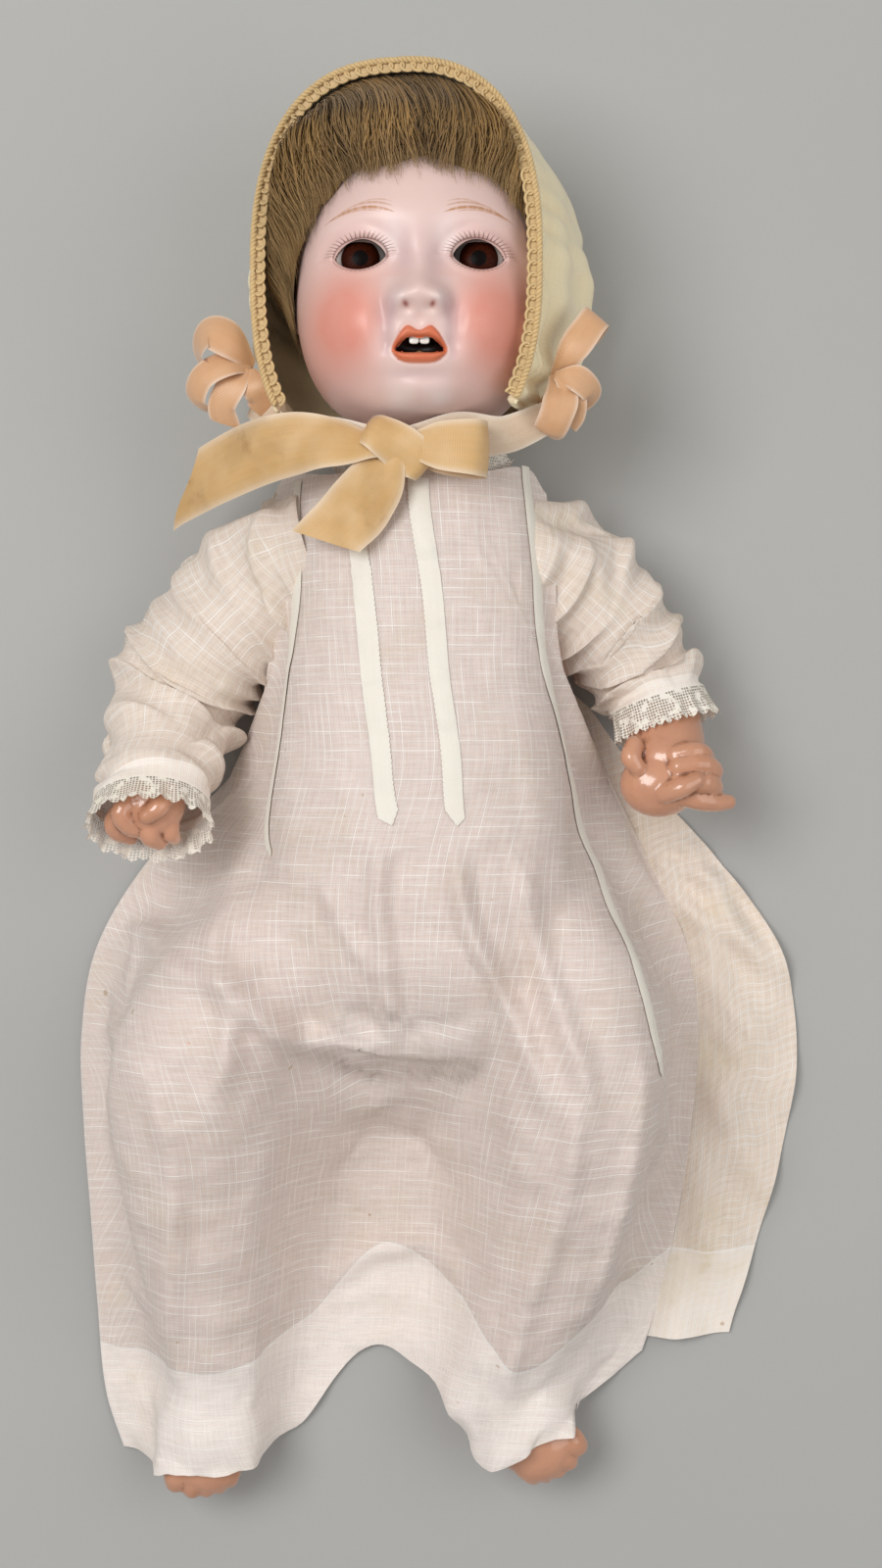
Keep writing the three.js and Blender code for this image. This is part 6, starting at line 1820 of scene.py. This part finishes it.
def sleeve_rings(name, rows=84, columns=110):
    """Rings of a loose sleeve from the armhole over the shoulder and along the arm to the cuff."""
    plans = {
        "left": (
            [(38, 95, 50), (53, 91, 47), (70, 80, 43), (85, 67, 39), (95, 51, 35), (100, 35, 37)],
            [27, 33, 32, 30, 26, 20.5],
            [27, 32, 30, 27, 23.5, 20],
        ),
        "right": (
            [(-42, 95, 50), (-60, 89, 47), (-78, 75, 43), (-95, 57, 41),
             (-106, 34, 41), (-110, 9, 53), (-110, -9, 68)],
            [27, 34, 34, 33, 30, 27, 24],
            [27, 32, 31, 29, 26, 22, 19],
        ),
    }
    centres, wide, deep = plans[name]
    t = np.linspace(0, 1, rows + 1)
    path = curve(centres, t)
    ahead = unit(np.gradient(path, axis=0))
    up = unit(np.array((0, 0, 1.0)) - ahead * ahead[:, 2:])
    aside = np.cross(ahead, up)
    a = np.linspace(0, 2 * np.pi, columns, endpoint=False)
    out = curve(wide, t)[:, None, None] * aside[:, None] * np.cos(a)[None, :, None]
    out = out + curve(deep, t)[:, None, None] * up[:, None] * np.sin(a)[None, :, None]
    return path, ahead, out, a


def build_sleeves():
    """Lawn sleeves that bunch along the arm, each with a lace cuff."""
    for seed, name in ((21, "left"), (33, "right")):
        path, ahead, out, a = sleeve_rings(name)
        long = lengths(path)[:, None]
        share = long / long[-1]
        place = joined(long + 0 * a, a * 22 + 0 * long)
        lean = 1.5 * np.sin(a + seed) + 0.9 * np.sin(2 * a + 0.4 * seed) + 1.6 * rumple(place, 70, seed)
        bunch = np.sin(long * 0.4 + lean) + 0.5 * np.sin(long * 0.71 + 1.6 * lean + 1)
        depth = smooth(0, 0.16, share) * smooth(1, 0.9, share)
        swell = depth * (
            3.6 * bunch * (0.75 + 0.4 * rumple(place, 40, seed + 1)) + 1.8 * rumple(place, 34, seed + 2)
        )
        points = path[:, None] + out + unit(out) * swell[..., None]
        points = points + ahead[:, None] * (depth * 1.2 * np.cos(long * 0.4 + lean))[..., None]
        held = np.broadcast_to(smooth(0.04, 0.0, share) + smooth(0.97, 1.0, share), points.shape[:2])
        arm = Skin()
        limb_form(arm, SHOULDER[name], ARM_PATHS[name], ARM_RADII, 30, 22)
        forms = [(np.vstack(arm.points), arm.faces), drape_forms()[-1]]
        points = settle(points, points, held, forms, frames=12, bending=0.6, wrap=True)
        padded = soften(
            np.concatenate([points[:, -4:], points, points[:, :4]], 1), 3,
            np.zeros((len(points), points.shape[1] + 8), bool)
        )
        points = np.where(held[..., None] > 0.5, points, padded[:, 4:-4])
        points[..., 2] = np.maximum(points[..., 2], 1.6)
        weave = joined(a / (2 * np.pi) * 150 + 0 * long, long * 1.25 + 0 * a)
        sleeve = sheet_piece(name + "_lawn_sleeve", "sleeve_lawn", "lawn", points, weave, wrap=True)
        mark(sleeve, "hem", np.broadcast_to(smooth(0.92, 0.97, share), points.shape[:2]).ravel())
        tuple(path[0] * MM)
        tuple(path[40] * MM)
        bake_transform(sleeve)
        np.broadcast_to(smooth(0.0, 0.4, share), points.shape[:2])
        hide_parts(name + "_sleeve")
        declare([np.concatenate([points, points[:, :1]], 1)], (name + "_arm_moulded",))
        build_cuff(name, points[-1], ahead[-1])


def build_cuff(name, end, ahead):
    """Lace gathered to the sleeve's end, scalloped along its free edge."""
    out = unit(end - end.mean(0))
    a = np.linspace(0, 2 * np.pi, 361)
    pick = a / (2 * np.pi) * len(end)
    i, f = pick.astype(int) % len(end), (pick - pick.astype(int))[:, None]
    ring = mix(end[i], end[(i + 1) % len(end)], f)
    flare = unit(mix(out[i], out[(i + 1) % len(end)], f))
    v = np.linspace(0, 1, 15)[None]
    drop = (sizes().lace_width / MM * (0.86 + 0.14 * np.abs(np.sin(a * 19))))[:, None] * v
    ruffle = (1.3 * np.sin(a * 15 + np.sin(a * 3)))[:, None] * v**1.2 + 1.6 * v**2
    grid = ring[:, None] + ahead * drop[..., None] + flare[:, None] * ruffle[..., None]
    grid[..., 2] = np.maximum(grid[..., 2], 1.4)
    long = np.linalg.norm(np.diff(ring, axis=0), axis=1).sum()
    weave = joined(drop, (a / (2 * np.pi) * long)[:, None] + 0 * drop)
    cuff = sheet_piece(name + "_lace_cuff", "lace", "lace", grid, weave, flip=True)
    ride(cuff, name + "_arm", name + "_cuff")
    declare([grid], (name + "_lawn_sleeve",))


# Trims


def on_gown(s, t, lift):
    """Points on the draped gown front at s across and t down it, lifted off it."""
    i, j = (s + 1) / 2 * GOWN_COLUMNS, t * GOWN_ROWS
    i0, j0 = np.clip(i.astype(int), 0, GOWN_COLUMNS - 1), np.clip(j.astype(int), 0, GOWN_ROWS - 1)
    fi, fj = (i - i0)[..., None], (j - j0)[..., None]
    read = lambda table: mix(
        mix(table[j0, i0], table[j0, i0 + 1], fi), mix(table[j0 + 1, i0], table[j0 + 1, i0 + 1], fi), fj
    )
    return read(GOWN["points"]) + unit(read(GOWN["normals"])) * np.asarray(lift)[..., None]


def build_trim(name, places, wide, picot, leg=None):
    """A tape sewn down the gown front, with small loops along one or both edges and a pointed end."""
    u = np.linspace(0, 1, 260)
    line = curve(places, u[::4])
    laid = GOWN["laid"][..., :2].reshape(-1, 2)
    near = ((laid[None] - line[:, None]) ** 2).sum(-1).argmin(1)
    s, t = (np.polyval(np.polyfit(u[::4], GOWN[key].ravel()[near], 4), u) for key in ("s", "t"))
    s = np.clip(s, -0.97, 0.97)
    middle = on_gown(s, t, 0.0)
    step = np.linalg.norm(on_gown(s + 0.01, t, 0.0) - middle, axis=1)
    long = lengths(middle)
    beads = 0.45 * np.abs(np.sin(long * np.pi / 2.1))
    end = np.minimum(1, (long[-1] - long) / (wide * 0.6))
    v = np.linspace(-0.5, 0.5, 9)[None]
    half = wide * end[:, None] + (beads[:, None] * ((v > 0.45) * picot[1] + (v < -0.45) * picot[0])) * 2
    aside = v * half
    grid = on_gown(
        s[:, None] + aside / step[:, None] * 0.01, t[:, None] + 0 * v, 0.55 + 0.35 * (1 - 4 * v * v)
    )
    trim = sheet_piece(name + "_sewn", "tape", "lace", grid, joined(aside, long[:, None] + 0 * v))
    if leg:
        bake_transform(trim)
        skirt_weight(s[:, None] + 0 * v, grid[..., 1])
        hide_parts(name)
    else:
        ride(trim, "torso", name)
    declare([grid], ("gown_front_left", "gown_front_right"))


def build_trims():
    build_trim("left_tape", [(-1, 122), (4, 80), (9, 35), (14, -16)], 8.2, (1, 0))
    build_trim("right_tape", [(-25, 99), (-21, 60), (-17, 22), (-13, -16)], 8.2, (0, 1))
    left = [(43, 127), (46, 92), (49, 52), (58, 22), (71, -20), (85, -72), (97, -118)]
    right = [(-51, 127), (-50, 97), (-51, 62), (-58, 30), (-66, -26)]
    build_trim("left_band", left, 7.0, (0, 0), "left_leg")
    build_trim("right_band", right, 7.0, (0, 0), "right_leg")
    a = np.linspace(-0.4, np.pi + 0.4, 241)
    v = np.linspace(0, 1, 13)
    wide = 9.0 * (0.86 + 0.14 * np.abs(np.sin(a * 24)))
    way = unit(joined(0.5 * np.cos(a), 1 + 0 * a, 0.5 * np.sin(a)))
    ring = joined(33.5 * np.cos(a), 126.5 + 0 * a, 54 + 33.5 * np.sin(a))
    ruffle = 1.5 * np.sin(a * 17 + np.sin(a * 5))[:, None] * v[None]
    radial = joined(np.cos(a), 0 * a, np.sin(a))
    spread = way[:, None] * (wide[:, None] * v[None])[..., None]
    grid = ring[:, None] + spread + radial[:, None] * ruffle[..., None]
    weave = joined(wide[:, None] * v[None], a[:, None] * 34 + 0 * v[None])
    ruff = sheet_piece("neck_lace_ruffle", "lace", "lace", grid, weave)
    ride(ruff, "torso", "neck_lace")
    declare([grid])


# Works inside, body, stage


def dress(node, name, soften_by=0.0):
    """Gives a CAD node a finish, and rounds the facets of a moulded one."""
    obj = NODES[node]
    obj.data.materials.clear()
    obj.data.materials.append(finish(name))
    if soften_by:
        melt(obj, soften_by, 40)
    else:
        edge = obj.modifiers.new("Edge", "BEVEL")
        edge.width, edge.segments, edge.limit_method = 0.2 * MM, 2, "ANGLE"


def build_body():
    for node in ("torso_front", "torso_back"):
        dress(node, "composition", 1.6)
    works = {
        "iron": [
            "neck_hook", "eye_rocker", "left_arm_hook", "right_arm_hook", "left_leg_hook", "right_leg_hook"
        ],
        "elastic": ["arm_elastic", "leg_elastic"],
        "plaster": ["left_pivot", "right_pivot"],
        "card": ["crown_pate"],
        "wood": ["neck_button"],
        "lead": ["eye_weight"],
        "cork": ["weight_stop"],
    }
    for name, nodes in works.items():
        for node in nodes:
            dress(node, name)


def lamp(name, place, aim, size, power):
    light = bpy.data.lights.new(name, "AREA")
    light.shape, light.size, light.energy = "SQUARE", size, power
    obj = bpy.data.objects.new(name, light)
    obj.location = place
    obj.rotation_euler = (Vector(aim) - Vector(place)).to_track_quat("-Z", "Y").to_euler()
    bpy.context.scene.collection.objects.link(obj)


SENSOR = 36.0
PICTURE_LONG = 0.688  # metres of floor along the long side of the picture


def build_stage():
    scene = bpy.context.scene
    scene.view_settings.view_transform = "Standard"
    u, v = np.meshgrid(np.linspace(-1500, 1500, 7), np.linspace(1500, -1500, 7))
    sheet_piece("paper_floor", "floor", None, joined(u, v, np.full_like(u, -0.4)))
    lamp("key", (-0.65, 0.3, 1.4), (0, 0, 0), size=0.75, power=13)
    lamp("fill", (0.95, 0.05, 1.15), (0, 0, 0), size=1.2, power=5.6)
    world = scene.world or bpy.data.worlds.new("Studio")
    scene.world = world
    world.use_nodes = True
    back = world.node_tree.nodes["Background"]
    back.inputs["Color"].default_value, back.inputs["Strength"].default_value = (1.0, 0.985, 0.96, 1), 0.39
    view = bpy.data.cameras.new("photograph")
    high = sizes().camera_height
    view.sensor_width, view.lens = SENSOR, SENSOR * high / PICTURE_LONG
    camera = bpy.data.objects.new("photograph", view)
    camera.location = (0.0084, 0.0, high)
    scene.collection.objects.link(camera)
    scene.camera = camera


# Operators and panel


class DOLL_OT_stage(bpy.types.Operator):
    """Lay the paper floor, hang the lamps and set the camera."""

    bl_idname = "doll.stage"
    bl_label = "Stage"

    def execute(self, context):
        build_stage()
        return {"FINISHED"}


class DOLL_OT_body(bpy.types.Operator):
    """Finish the torso and the works inside head and body."""

    bl_idname = "doll.body"
    bl_label = "Body and works"

    def execute(self, context):
        build_body()
        return {"FINISHED"}


class DOLL_OT_limbs(bpy.types.Operator):
    """Mould the arms with their hands and the legs with their feet."""

    bl_idname = "doll.limbs"
    bl_label = "Arms and legs"

    def execute(self, context):
        build_arms()
        build_legs()
        return {"FINISHED"}


class DOLL_OT_head(bpy.types.Operator):
    """Cast and paint the bisque head and set its teeth."""

    bl_idname = "doll.head"
    bl_label = "Bisque head"

    def execute(self, context):
        build_head()
        build_teeth()
        return {"FINISHED"}


class DOLL_OT_eyes(bpy.types.Operator):
    """Blow the two glass eyes."""

    bl_idname = "doll.eyes"
    bl_label = "Sleep eyes"

    def execute(self, context):
        build_eyes()
        return {"FINISHED"}


class DOLL_OT_wig(bpy.types.Operator):
    """Comb the mohair wig on its cap."""

    bl_idname = "doll.wig"
    bl_label = "Wig"

    def execute(self, context):
        build_wig()
        return {"FINISHED"}


class DOLL_OT_gown(bpy.types.Operator):
    """Drape the front of the gown and lay out its back."""

    bl_idname = "doll.gown"
    bl_label = "Gown"

    def execute(self, context):
        build_gown()
        build_gown_back()
        return {"FINISHED"}


class DOLL_OT_sleeves(bpy.types.Operator):
    """Gather the sleeves and their lace cuffs."""

    bl_idname = "doll.sleeves"
    bl_label = "Sleeves"

    def execute(self, context):
        build_sleeves()
        return {"FINISHED"}


class DOLL_OT_trims(bpy.types.Operator):
    """Sew the tapes and bands on the gown front and the lace round the neck."""

    bl_idname = "doll.trims"
    bl_label = "Tapes and lace"

    def execute(self, context):
        build_trims()
        return {"FINISHED"}


class DOLL_OT_bonnet(bpy.types.Operator):
    """Shape the silk bonnet with its braid and rosettes."""

    bl_idname = "doll.bonnet"
    bl_label = "Bonnet"

    def execute(self, context):
        build_bonnet()
        build_rosettes()
        return {"FINISHED"}


class DOLL_OT_bow(bpy.types.Operator):
    """Tie the bow under the chin and the ties that run to it."""

    bl_idname = "doll.bow"
    bl_label = "Bow and ties"

    def execute(self, context):
        build_ties()
        build_bow()
        return {"FINISHED"}


OPERATORS = (
    DOLL_OT_stage,
    DOLL_OT_body,
    DOLL_OT_limbs,
    DOLL_OT_head,
    DOLL_OT_eyes,
    DOLL_OT_wig,
    DOLL_OT_gown,
    DOLL_OT_sleeves,
    DOLL_OT_trims,
    DOLL_OT_bonnet,
    DOLL_OT_bow,
)


class DOLL_PT_pieces(bpy.types.Panel):
    """Lists the pieces of the doll with the sizes and colours that can be changed."""

    bl_idname = "DOLL_PT_pieces"
    bl_label = "Baby doll"
    bl_space_type = "VIEW_3D"
    bl_region_type = "UI"
    bl_category = "Doll"

    def draw(self, context):
        column = self.layout.column(align=True)
        for operator in OPERATORS:
            column.operator(operator.bl_idname)
        for settings in (context.scene.doll_sizes, context.scene.doll_colours):
            column = self.layout.column()
            for key in settings.bl_rna.properties.keys():
                if key not in {"rna_type", "name"}:
                    column.prop(settings, key)


CLASSES = (DollColours, DollSizes, *OPERATORS, DOLL_PT_pieces)


def register():
    for entry in CLASSES:
        bpy.utils.register_class(entry)
    bpy.types.Scene.doll_colours = PointerProperty(type=DollColours)
    bpy.types.Scene.doll_sizes = PointerProperty(type=DollSizes)


def unregister():
    del bpy.types.Scene.doll_sizes
    del bpy.types.Scene.doll_colours
    for entry in reversed(CLASSES):
        bpy.utils.unregister_class(entry)


def main():
    register()
    for operator in OPERATORS:
        getattr(bpy.ops.doll, operator.bl_idname.split(".")[1])()


if __name__ == "__main__":
    main()
